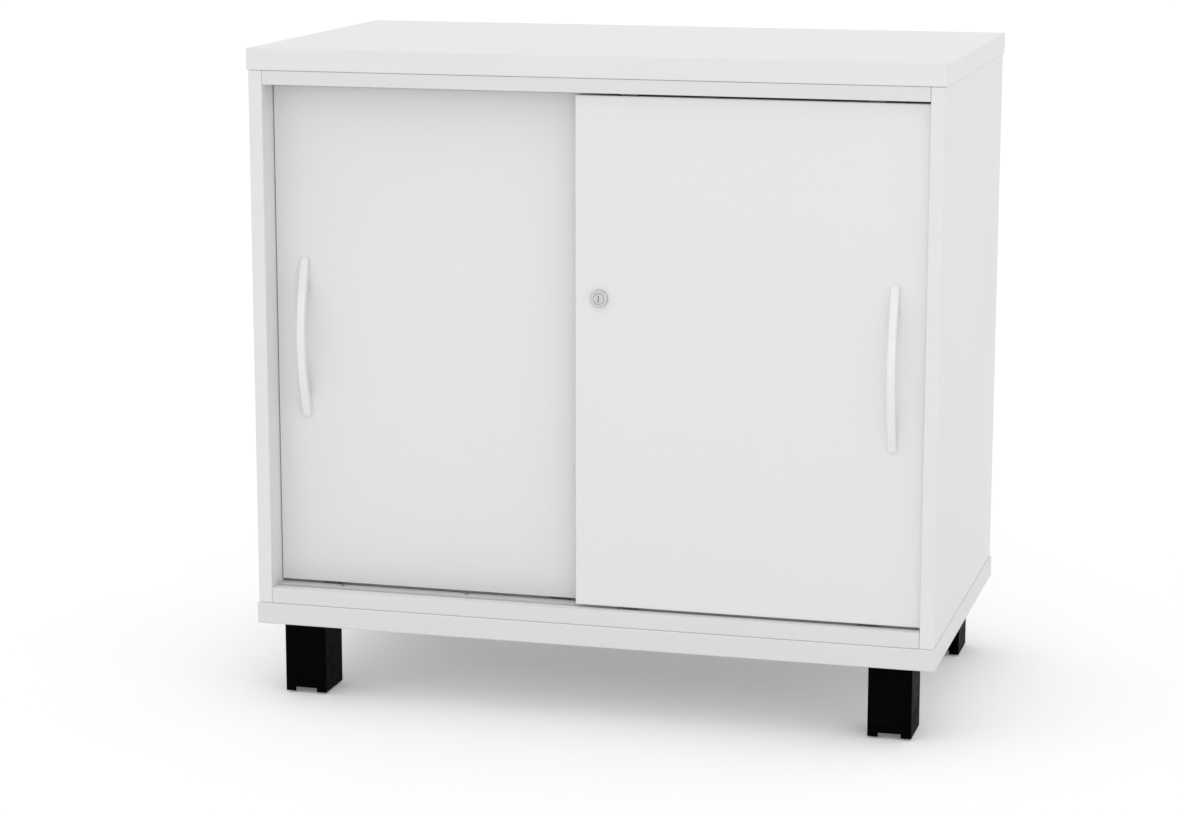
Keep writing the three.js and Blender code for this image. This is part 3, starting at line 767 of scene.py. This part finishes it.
def rod_cutter(radius, axis, centre, low, high):
    centre = Vector(centre)
    reach = along_axis(axis, radius, radius, 0)
    first = centre - reach + along_axis(axis, 0, 0, low)
    last = centre + reach + along_axis(axis, 0, 0, high)
    return first, last, lambda: rod_shell(radius, axis, centre, low, high)


def board(node, body, paints, banded=(), band=BOARD_BAND, outer=BOARD_ROUND, cutters=()):
    low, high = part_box(node)
    shells = banded_shells(low, high, banded, band, cutters)
    return piece(f"{node}_board", shells, body, paints, [node], outer, SEAM)


# Case

def make_case(paints):
    boards = [paints["board"], paints["band"]]
    # The inner boards and the base slab take the edge band with painted shade
    inner_boards = [paints["board"], paints["inner_band_painted_shade"]]
    around = ("-Y", "+Y", "-X", "+X")
    base_holes = []
    for castor in CASTORS:
        stem = middle(f"castor_{castor}_stem")
        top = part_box(f"castor_{castor}_stem")[1].z
        place = Vector((stem.x, stem.y, top))
        hole = rod_cutter(STEM_TOP_RADIUS + SEAT_GAP, "Z", place, -STEM_HOLE_DEPTH, SEAT_GAP)
        base_holes.append(hole)
    board("top_panel", "cabinet", boards, around, SLAB_BAND, SLAB_ROUND)
    board("base_panel", "cabinet", inner_boards, around, SLAB_BAND, SLAB_ROUND, base_holes)
    groove = box_cutter(*grown("back_panel"))
    for side in ("left", "right"):
        cutters = [groove, *row_holes(side)]
        board(f"side_panel_{side}", "cabinet", boards, ("-Y", "+Y"), cutters=cutters)
    for end in ("bottom", "top"):
        cutters = [groove, box_cutter(*grown(f"track_{end}"))]
        board(f"inner_{end}_panel", "cabinet", inner_boards, ("-Y",), cutters=cutters)
    board("back_panel", "cabinet", [paints["back"]], outer=SEAM)
    board("shelf", "cabinet", boards, ("-Y",))
    for place in ("front_left", "rear_left", "front_right", "rear_right"):
        shelf_pin(f"shelf_pin_{place}", paints)


def row_holes(side):
    """Rows of shelf pin holes in one side panel, a column through each of its pins."""
    holes = []
    low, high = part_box(f"side_panel_{side}")
    inner = high.x if side == "left" else low.x
    outward = -1 if side == "left" else 1
    span = sorted((-outward * OVERRUN, outward * ROW_HOLE_DEPTH))
    for place in ("front", "rear"):
        pin = middle(f"shelf_pin_{place}_{side}")
        for row in range(-ROWS_EACH_WAY, ROWS_EACH_WAY + 1):
            centre = (inner, pin.y, pin.z + row * ROW_PITCH)
            holes.append(rod_cutter(PIN_RADIUS + SEAT_GAP, "X", centre, *span))
    return holes


def shelf_pin(node, paints):
    low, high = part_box(node)
    centre = (low + high) / 2
    outward = 1 if centre.x > 0 else -1
    tip = high.x if outward > 0 else low.x
    near = tip - outward * (high.x - low.x - PIN_BRACKET)
    far = near - outward * PIN_BRACKET
    block = box_shell((min(near, far), low.y, low.z), (max(near, far), high.y, high.z))
    span = sorted((near - outward * PIN_RADIUS, tip))
    pin = rod_shell(PIN_RADIUS, "X", (0, centre.y, centre.z), *span, corner=PIN_ROUND)
    shell = combined(block, [pin], "UNION")
    piece(f"{node}_peg", [(shell, 0)], "cabinet", [paints["zinc"]], [node], inner=SOFT_ROUND)


# Tracks and what runs in them

def track_outline(low, high, up):
    """The W section of a track, in Y and Z: two channels joined by a web at their mouths."""
    mouth = high.z if up > 0 else low.z
    bottom = low.z if up > 0 else high.z
    floor = bottom + up * TRACK_WALL
    web = mouth - up * TRACK_WALL
    half = CHANNEL_WIDTH / 2
    lip = TRACK_LIP_ROUND
    front = middle("door_right").y
    rear = middle("door_left").y
    return rounded([
        (low.y, bottom, lip), (front + half + TRACK_WALL, bottom, lip),
        (front + half + TRACK_WALL, web, 0), (rear - half - TRACK_WALL, web, 0),
        (rear - half - TRACK_WALL, bottom, lip), (high.y, bottom, lip),
        (high.y, mouth, lip), (rear + half, mouth, lip),
        (rear + half, floor, lip), (rear - half, floor, lip),
        (rear - half, mouth, lip), (front + half, mouth, lip),
        (front + half, floor, lip), (front - half, floor, lip),
        (front - half, mouth, lip), (low.y, mouth, lip),
    ], steps=FEW_STEPS)


def make_track(node, up, paints):
    low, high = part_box(node)
    shell = prism_shell(track_outline(low, high, up), "X", low.x, high.x)
    piece(f"{node}_rail", [(shell, 0)], "cabinet", [paints["track"]], [node])
    mouth = high.z if up > 0 else low.z
    web = (middle("door_right").y + middle("door_left").y) / 2
    screws = []
    for index in range(TRACK_SCREWS):
        x = low.x + (high.x - low.x) * (index + 0.5) / TRACK_SCREWS
        screws.append((cross_head(TRACK_SCREW_RADIUS, TRACK_SCREW_RISE, "Z", (x, web, mouth), up), 0))
    piece(f"{node}_screws", screws, "cabinet", [paints["zinc"]])


def cross_head(radius, rise, axis, seat, outward):
    """A low screw head with a cross recess, standing on seat and facing outward along the axis."""
    sunk = -TRACK_SCREW_SUNK * rise * outward
    outline = rounded([
        (0, sunk, 0), (radius, sunk, 0),
        (radius, rise * outward, TRACK_SCREW_DOME * rise), (0, rise * outward, 0),
    ])
    head = turned_shell(outline, axis, seat, steps=SCREW_STEPS)
    bars = []
    for length, width in ((radius, radius / 4), (radius / 4, radius)):
        corners = [
            Vector(seat) + along_axis(axis, sign * length / 2, sign * width / 2, place * outward)
            for sign, place in ((-1, -rise), (1, 2 * rise))
        ]
        low = Vector(min(pair) for pair in zip(*corners))
        high = Vector(max(pair) for pair in zip(*corners))
        bars.append(box_shell(low, high))
    return combined(head, bars, "DIFFERENCE")


def make_running(door, paints):
    """The two rollers, housings and head guides of a door."""
    body = f"{door}_door"
    for end in ("left", "right"):
        name = f"door_{door}_roller_{end}"
        axle = middle(name)
        low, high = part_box(name)
        roller(name, axle, high.z - axle.z, low.y - axle.y, f"{body}_roller_{end}", paints)
        housing(f"door_{door}_roller_housing_{end}", axle, body, paints)
        guide(f"door_{door}_guide_{end}", door, body, paints)


def roller(name, axle, radius, pin_end, body, paints):
    """A grooved roller with its pin moulded on, dished on both sides."""
    half = ROLLER_WIDTH / 2
    dish = half - ROLLER_DISH
    rim = ROLLER_RIM * radius
    outline = rounded([
        (0, pin_end, 0), (ROLLER_PIN_RADIUS, pin_end, SMALL_ROUND),
        (ROLLER_PIN_RADIUS, -dish, 0), (rim, -dish, FINE_ROUND),
        (rim, -half, FINE_ROUND), (radius, -half, ROLLER_ROUND),
        (radius, -ROLLER_GROOVE, FINE_ROUND), (radius - ROLLER_GROOVE / 2, 0, SMALL_ROUND),
        (radius, ROLLER_GROOVE, FINE_ROUND), (radius, half, ROLLER_ROUND),
        (rim, half, FINE_ROUND), (rim, dish, FINE_ROUND),
        (ROLLER_PIN_RADIUS, dish, 0), (ROLLER_PIN_RADIUS, -pin_end, SMALL_ROUND),
        (0, -pin_end, 0),
    ], steps=FEW_STEPS)
    shell = turned_shell(outline, "Y", axle)
    piece(f"{name}_wheel", [(shell, 0)], body, [paints["nylon"]], [name])


def housing(name, axle, body, paints):
    """A block in the door's foot, open below for the roller and bored for its pin."""
    low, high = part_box(name)
    middle_y = (low.y + high.y) / 2
    slot = box_shell(
        (axle.x - ROLLER_SLOT_LENGTH / 2, middle_y - ROLLER_SLOT_WIDTH / 2, low.z - OVERRUN),
        (axle.x + ROLLER_SLOT_LENGTH / 2, middle_y + ROLLER_SLOT_WIDTH / 2, high.z - HOUSING_ROOF),
    )
    hole = rod_shell(
        ROLLER_PIN_RADIUS + SEAT_GAP, "Y", axle, low.y - axle.y - OVERRUN, high.y - axle.y + OVERRUN,
    )
    shell = combined(box_shell(low, high), [slot, hole], "DIFFERENCE")
    piece(
        f"{name}_body", [(shell, 0)], body, [paints["moulded"]], [name],
        HOUSING_ROUND, INNER_ROUND,
    )


def guide(name, door, body, paints):
    """A block in the door's head, with a tongue that runs in the top track."""
    low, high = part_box(name)
    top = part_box(f"door_{door}")[1].z
    middle_y = (low.y + high.y) / 2
    block = box_shell(low, (high.x, high.y, top))
    half = GUIDE_TONGUE / 2
    turn = GUIDE_ROUNDNESS * half
    first, last = low.x + GUIDE_END, high.x - GUIDE_END
    outline = rounded([
        (first, middle_y - half, turn), (last, middle_y - half, turn),
        (last, middle_y + half, turn), (first, middle_y + half, turn),
    ])
    tongue = prism_shell(outline, "Z", top - OVERRUN, high.z)
    shell = combined(block, [tongue], "UNION")
    piece(
        f"{name}_tongue", [(shell, 0)], body, [paints["moulded"]], [name],
        inner=SOFT_ROUND,
    )


# Doors and handles

def make_door(door, paints):
    node = f"door_{door}"
    low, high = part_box(node)
    cutters = []
    for end in ("left", "right"):
        pocket_low, pocket_high = grown(f"{node}_roller_housing_{end}")
        pocket_low.z = low.z - OVERRUN
        cutters.append(box_cutter(pocket_low, pocket_high))
        head_low, head_high = grown(f"{node}_guide_{end}")
        head_high.z = high.z + OVERRUN
        cutters.append(box_cutter(head_low, head_high))
    through = (low.y - OVERRUN, high.y + OVERRUN)
    for place in ("lower", "upper"):
        screw = middle(f"handle_{door}_screw_{place}")
        cutters.append(rod_cutter(SCREW_RADIUS + SEAT_GAP, "Y", (screw.x, 0, screw.z), *through))
    if door == "right":
        lock = middle("lock_barrel")
        cutters.append(rod_cutter(BARREL_RADIUS + SEAT_GAP, "Y", (lock.x, 0, lock.z), *through))
    around = ("-Z", "+Z", "-X", "+X")
    boards = [paints[f"{door}_door"], paints["band"]]
    board(node, f"{door}_door", boards, around, cutters=cutters)


def bow(place, half, end_rise, peak):
    """Rise of an arc over a chord of twice half, at a place from its middle."""
    if abs(place) >= half:
        return end_rise
    sagitta = peak - end_rise
    radius = (half ** 2 + sagitta ** 2) / (2 * sagitta)
    return peak - radius + math.sqrt(radius ** 2 - place ** 2)


def make_handle(door, paints):
    """A bow cast in one with its two feet: the back is an arc between them, the front a flatter one."""
    node = f"handle_{door}"
    low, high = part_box(node)
    centre = (low + high) / 2
    foot = high.y + SEAT_GAP / 2
    half = (high.z - low.z) / 2
    peak = foot - low.y
    rings = []
    for index in range(HANDLE_STATIONS + 1):
        place = half * math.sin(math.pi * (index / HANDLE_STATIONS - 0.5))
        past = max(0.0, (abs(place) - half + HANDLE_TIP) / HANDLE_TIP)
        taper = math.sqrt(1 - HANDLE_TAPER * past ** 2)
        width = (high.x - low.x) * taper
        front = bow(place, half, HANDLE_END_RISE, peak) * taper
        back = bow(place, HANDLE_BACK_HALF, 0, peak - HANDLE_WAIST)
        least = HANDLE_ROUND_SHARE * min(width, front - back)
        front_round = min(HANDLE_FRONT_ROUND, least)
        back_round = min(HANDLE_BACK_ROUND, least)
        section = rounded([
            (centre.x - width / 2, foot - back, back_round),
            (centre.x + width / 2, foot - back, back_round),
            (centre.x + width / 2, foot - front, front_round),
            (centre.x - width / 2, foot - front, front_round),
        ])
        rings.append([Vector((x, y, centre.z + place)) for x, y in section])
    piece(
        f"{node}_bow", [(lofted_shell(rings), 0)], f"{door}_door",
        [paints["handle"]], [node],
    )
    for place in ("lower", "upper"):
        handle_screw(f"{node}_screw_{place}", f"{door}_door", paints)


def handle_screw(node, body, paints):
    low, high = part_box(node)
    centre = (low + high) / 2
    radius = (high.x - low.x) / 2
    seat = high.y - SCREW_HEAD_HEIGHT
    outline = rounded([
        (0, low.y, 0), (SCREW_RADIUS, low.y, SMALL_ROUND), (SCREW_RADIUS, seat, 0),
        (radius, seat, FINE_ROUND), (radius, high.y, SCREW_DOME * SCREW_HEAD_HEIGHT), (0, high.y, 0),
    ])
    screw = turned_shell(outline, "Y", (centre.x, 0, centre.z), steps=HANDLE_SCREW_STEPS)
    bars = []
    for reach_x, reach_z in ((SCREW_CROSS / 2, radius / 2), (radius / 2, SCREW_CROSS / 2)):
        bars.append(box_shell(
            (centre.x - reach_x, high.y - SCREW_HEAD_HEIGHT / 2, centre.z - reach_z),
            (centre.x + reach_x, high.y + OVERRUN, centre.z + reach_z),
        ))
    shell = combined(screw, bars, "DIFFERENCE")
    piece(f"{node}_head", [(shell, 0)], body, [paints["zinc"]], [node])


# Lock

def make_lock(paints):
    axis = middle("lock_barrel")
    axis.y = 0
    lock_barrel(axis, paints)
    lock_plug(axis, paints)
    lock_nut(axis, paints)
    lock_cam(paints)
    lock_stud(paints)


def lock_barrel(axis, paints):
    low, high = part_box("lock_barrel")
    flange = (high.x - low.x) / 2
    bore = PLUG_RADIUS + SEAT_GAP / 2
    seat = low.y + FLANGE_PROUD
    outline = rounded([
        (bore, low.y + FLANGE_LIP_DROP, FINE_ROUND), (bore + FLANGE_LIP, low.y, SMALL_ROUND),
        (flange, low.y, FLANGE_ROUND), (flange, seat, HAIR_ROUND), (BARREL_RADIUS, seat, 0),
        (BARREL_RADIUS, high.y, SMALL_ROUND), (bore, high.y, HAIR_ROUND),
    ])
    shell = turned_shell(outline, "Y", axis)
    finish = [paints["lock"]]
    piece("lock_barrel_case", [(shell, 0)], "right_door", finish, ["lock_barrel"])


def lock_plug(axis, paints):
    """The plug's face with its key slot, a shank through the cam, and a riveted end behind it."""
    low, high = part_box("lock_plug")
    cam_low, cam_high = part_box("lock_cam")
    shank = PLUG_SHANK * PLUG_RADIUS
    rivet = PLUG_RIVET * PLUG_RADIUS
    before, behind = cam_low.y - SEAT_GAP, cam_high.y + SEAT_GAP
    outline = rounded([
        (0, low.y + PLUG_RECESS, 0), (PLUG_RADIUS, low.y + PLUG_RECESS, SOFT_ROUND),
        (PLUG_RADIUS, before, FINE_ROUND), (shank, before, 0),
        (shank, behind, 0), (rivet, behind, HAIR_ROUND),
        (rivet, high.y, SOFT_ROUND), (0, high.y, 0),
    ])
    width, length = KEY_SLOT
    tools = [
        box_shell(
            (axis.x - width / 2, low.y - OVERRUN, axis.z - length / 2),
            (axis.x + width / 2, low.y + KEY_SLOT_DEPTH, axis.z + length / 2),
        ),
        box_shell(
            (axis.x - width, low.y - OVERRUN, axis.z - length / 2),
            (axis.x, low.y + KEY_SLOT_DEPTH, axis.z - length / 4),
        ),
    ]
    shell = combined(turned_shell(outline, "Y", axis), tools, "DIFFERENCE")
    piece("lock_plug_face", [(shell, 0)], "lock", [paints["lock"]], ["lock_plug"])


def lock_nut(axis, paints):
    """A thin hexagon nut with its corners turned down."""
    low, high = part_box("lock_nut")
    corner = (high.z - low.z) / 2
    flat = corner * math.cos(math.pi / 6)
    turns = [math.pi * side / 3 for side in range(6)]
    across = [(axis.x + corner * math.sin(turn), axis.z + corner * math.cos(turn)) for turn in turns]
    hexagon = prism_shell(across, "Y", low.y, high.y)
    hole = rod_shell(BARREL_RADIUS + SEAT_GAP / 2, "Y", axis, low.y - OVERRUN, high.y + OVERRUN)
    edge = corner - flat
    turned_down = turned_shell([
        (flat, high.y + OVERRUN), (flat, high.y), (corner, high.y - edge / 2),
        (corner + OVERRUN, high.y - edge / 2), (corner + OVERRUN, high.y + OVERRUN),
    ], "Y", axis)
    shell = combined(hexagon, [hole, turned_down], "DIFFERENCE")
    piece(
        "lock_nut_ring", [(shell, 0)], "right_door", [paints["zinc"]], ["lock_nut"],
        inner=HAIR_ROUND,
    )


def lock_cam(paints):
    """The cam's own solid, copied with its edges rolled over as a stamped plate's are."""
    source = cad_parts["lock_cam"].data
    bm = bmesh.new()
    bm.from_mesh(source)
    bmesh.ops.remove_doubles(bm, verts=bm.verts, dist=TINY)
    flat = [
        edge for edge in bm.edges
        if len(edge.link_faces) == 2 and edge.calc_face_angle() < FLAT_ANGLE
    ]
    bmesh.ops.dissolve_edges(bm, edges=flat, use_verts=False)
    piece(
        "lock_cam_plate", [(bm, 0)], "lock", [paints["zinc"]], ["lock_cam"],
        inner=CAM_ROUND, steps=CAM_BEVEL_STEPS,
    )


def lock_stud(paints):
    """The pin that the cam takes hold of, with a collar on the rear door's face."""
    low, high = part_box("lock_stud")
    centre = (low + high) / 2
    collar = (high.x - low.x) / 2
    waist = STUD_WAIST * collar
    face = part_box("door_left")[0].y
    front, back = face - STUD_COLLAR, face - HAIR_ROUND
    outline = rounded([
        (0, low.y, 0), (waist, low.y, STUD_TIP_ROUND), (waist, front, 0),
        (collar, front, STUD_COLLAR_ROUND), (collar, back, 0),
        (waist, back, 0), (waist, high.y, SMALL_ROUND), (0, high.y, 0),
    ])
    shell = turned_shell(outline, "Y", (centre.x, 0, centre.z), steps=STUD_STEPS)
    piece("lock_stud_pin", [(shell, 0)], "left_door", [paints["zinc"]], ["lock_stud"])


# Castors

def make_castor(castor, paints):
    body = f"castor_{castor}"
    axle = middle(f"{body}_axle")
    swivel = middle(f"{body}_stem")
    castor_hood(body, axle, swivel, paints)
    castor_stem(body, swivel, paints)
    low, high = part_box(f"{body}_axle")
    radius = (high.z - low.z) / 2
    centre = (0, axle.y, axle.z)
    pin = rod_shell(radius, "X", centre, low.x + AXLE_END, high.x - AXLE_END, corner=AXLE_ROUND)
    plugs = [
        (rod_shell(radius, "X", centre, *ends, corner=SMALL_ROUND), 1)
        for ends in ((low.x, low.x + AXLE_END), (high.x - AXLE_END, high.x))
    ]
    finish = [paints["zinc"], paints["black"]]
    piece(f"{body}_axle_pin", [(pin, 0), *plugs], body, finish, [f"{body}_axle"])
    for side, letter in (("left", "a"), ("right", "b")):
        castor_wheel(f"{body}_wheel_{side}", f"{body}_wheel_{letter}", axle, paints)


def castor_hood(body, axle, swivel, paints):
    """A box over both wheels, open below, with a low arch in its front and rear walls."""
    low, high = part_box(f"{body}_hood")
    outline = rounded([
        (low.y, low.z, 0), (high.y, low.z, 0),
        (high.y, high.z, HOOD_CORNER), (low.y, high.z, HOOD_CORNER),
    ])
    shell = prism_shell(outline, "X", low.x, high.x)
    wheel_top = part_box(f"{body}_wheel_left")[1].z + WELL_HEADROOM
    front, back = low.y + HOOD_WALL, high.y - HOOD_WALL
    well = rounded([
        (front, low.z - OVERRUN, 0), (back, low.z - OVERRUN, 0),
        (back, wheel_top, WELL_CORNER), (front, wheel_top, WELL_CORNER),
    ])
    tools = [
        prism_shell(well, "X", axle.x + HOOD_WEB / 2, high.x - HOOD_SKIRT),
        prism_shell(well, "X", low.x + HOOD_SKIRT, axle.x - HOOD_WEB / 2),
        rod_shell(STEM_RADIUS + SEAT_GAP, "Z", (swivel.x, swivel.y, high.z), -HOOD_BORE_DEPTH, OVERRUN),
        box_shell(
            (axle.x - HOOD_ARCH[0] / 2, low.y - OVERRUN, low.z - OVERRUN),
            (axle.x + HOOD_ARCH[0] / 2, high.y + OVERRUN, low.z + HOOD_ARCH[1]),
        ),
    ]
    axis = (0, axle.y, axle.z)
    axle_low, axle_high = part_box(f"{body}_axle")
    bore = (axle_high.z - axle_low.z) / 2 + SEAT_GAP
    tools.append(rod_shell(bore, "X", axis, low.x - OVERRUN, high.x + OVERRUN))
    cap_edge = AXLE_CAP_RADIUS + AXLE_CAP_GROOVE
    groove = [
        (AXLE_CAP_RADIUS, -AXLE_CAP_GROOVE), (cap_edge, -AXLE_CAP_GROOVE),
        (cap_edge, AXLE_CAP_GROOVE), (AXLE_CAP_RADIUS, AXLE_CAP_GROOVE),
    ]
    for face in (low.x, high.x):
        tools.append(turned_shell(groove, "X", (face, axle.y, axle.z)))
    shell = combined(shell, tools, "DIFFERENCE")
    piece(
        f"{body}_hood_shell", [(shell, 0)], body, [paints["black"]],
        [f"{body}_hood"], HOOD_ROUND, INNER_ROUND,
    )


def castor_stem(body, swivel, paints):
    """The post that the hood turns on, with a collar under the base slab."""
    low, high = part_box(f"{body}_stem")
    collar = (high.x - low.x) / 2
    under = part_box("base_panel")[0].z
    seat = under - SEAT_GAP
    outline = rounded([
        (0, low.z, 0), (STEM_RADIUS, low.z, FULL_ROUND), (STEM_RADIUS, seat - COLLAR_THICKNESS, 0),
        (collar, seat - COLLAR_THICKNESS, COLLAR_ROUND), (collar, under, FINE_ROUND),
        (STEM_TOP_RADIUS, under, 0), (STEM_TOP_RADIUS, high.z, FULL_ROUND), (0, high.z, 0),
    ])
    shell = turned_shell(outline, "Z", (swivel.x, swivel.y, 0))
    piece(f"{body}_stem_post", [(shell, 0)], "cabinet", [paints["zinc"]], [f"{body}_stem"])


def castor_wheel(node, body, axle, paints):
    """A dished disc with a separate rounded tread."""
    low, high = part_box(node)
    radius = (high.z - low.z) / 2 * math.cos(math.pi / WHEEL_SIDES)
    rim = radius - TREAD_DEPTH
    edge = rim - WHEEL_RIM
    inset = WHEEL_RIM_INSET
    disc = rounded([
        (WHEEL_BORE, low.x, FINE_ROUND), (WHEEL_HUB, low.x, SOFT_ROUND),
        (WHEEL_HUB, low.x + WHEEL_DISH, SMALL_ROUND), (edge, low.x + WHEEL_DISH, WHEEL_DISH_ROUND),
        (edge, low.x + inset, inset), (rim, low.x + inset, 0),
        (rim, high.x - inset, 0), (edge, high.x - inset, inset),
        (edge, high.x - WHEEL_DISH, WHEEL_DISH_ROUND), (WHEEL_HUB, high.x - WHEEL_DISH, SMALL_ROUND),
        (WHEEL_HUB, high.x, SOFT_ROUND), (WHEEL_BORE, high.x, FINE_ROUND),
    ], steps=DISC_CORNER_STEPS)
    inside = rim + TREAD_GAP
    tread = rounded([
        (inside, low.x + TREAD_INSET, SMALL_ROUND), (radius, low.x, TREAD_ROUND),
        (radius, high.x, TREAD_ROUND), (inside, high.x - TREAD_INSET, SMALL_ROUND),
    ], steps=TREAD_CORNER_STEPS)
    centre = (0, axle.y, axle.z)
    shells = [
        (turned_shell(outline, "X", centre, WHEEL_STEPS), paint)
        for paint, outline in enumerate((disc, tread))
    ]
    piece(f"{node}_disc", shells, body, [paints["black"], paints["tread"]], [node])


# Everything in order

bpy.context.scene.view_settings.view_transform = "Standard"
make_camera()
make_world()
make_floor()
make_softbox()

finishes = {
    "board": melamine("board_melamine", WHITE),
    "right_door": melamine("door_melamine", shade(WHITE, DOOR_PAINTED_LIGHT)),
    # The rear door gets painted shade in its corners, eased round its handle
    "left_door": melamine("rear_door_melamine", shade(WHITE, DOOR_PAINTED_LIGHT), middle("handle_left")),
    "band": edge_band("board_edge_band", WHITE),
    "inner_band_painted_shade": edge_band("shaded_inner_edge_band", shade(WHITE, INNER_BAND_PAINTED_SHADE)),
    "back": back_board("back_board", shade(WHITE, BACK_SHADE)),
    "track": drawn_plastic("drawn_plastic", TRACK_GREY),
    "moulded": plastic(
        "moulded_plastic", HOUSING_GREY, roughness=0.45, grain=900.0, depth=0.03 * MM, scuffs=1.2,
    ),
    "nylon": plastic("nylon", ROLLER_GREY, roughness=0.36, grain=700.0, depth=0.02 * MM, scuffs=1.3),
    "handle": lacquered_metal("handle_metal", HANDLE_SILVER, "Z", roughness=0.36, metallic=0.12),
    "lock": turned_metal("lock_metal", LOCK_NICKEL, middle("lock_barrel")),
    "zinc": zinc_plate("zinc_plate", ZINC),
    "black": plastic(
        "castor_plastic", CASTOR_BLACK, roughness=0.5, grain=1500.0, depth=0.05 * MM,
        specular=0.015, scuffs=2.5,
    ),
    "tread": worn_tread("castor_tread", TREAD_BLACK),
}

make_case(finishes)
make_track("track_top", -1, finishes)
make_track("track_bottom", 1, finishes)
for door_name in ("left", "right"):
    make_door(door_name, finishes)
    make_running(door_name, finishes)
    make_handle(door_name, finishes)
make_lock(finishes)
for castor_name in CASTORS:
    make_castor(castor_name, finishes)
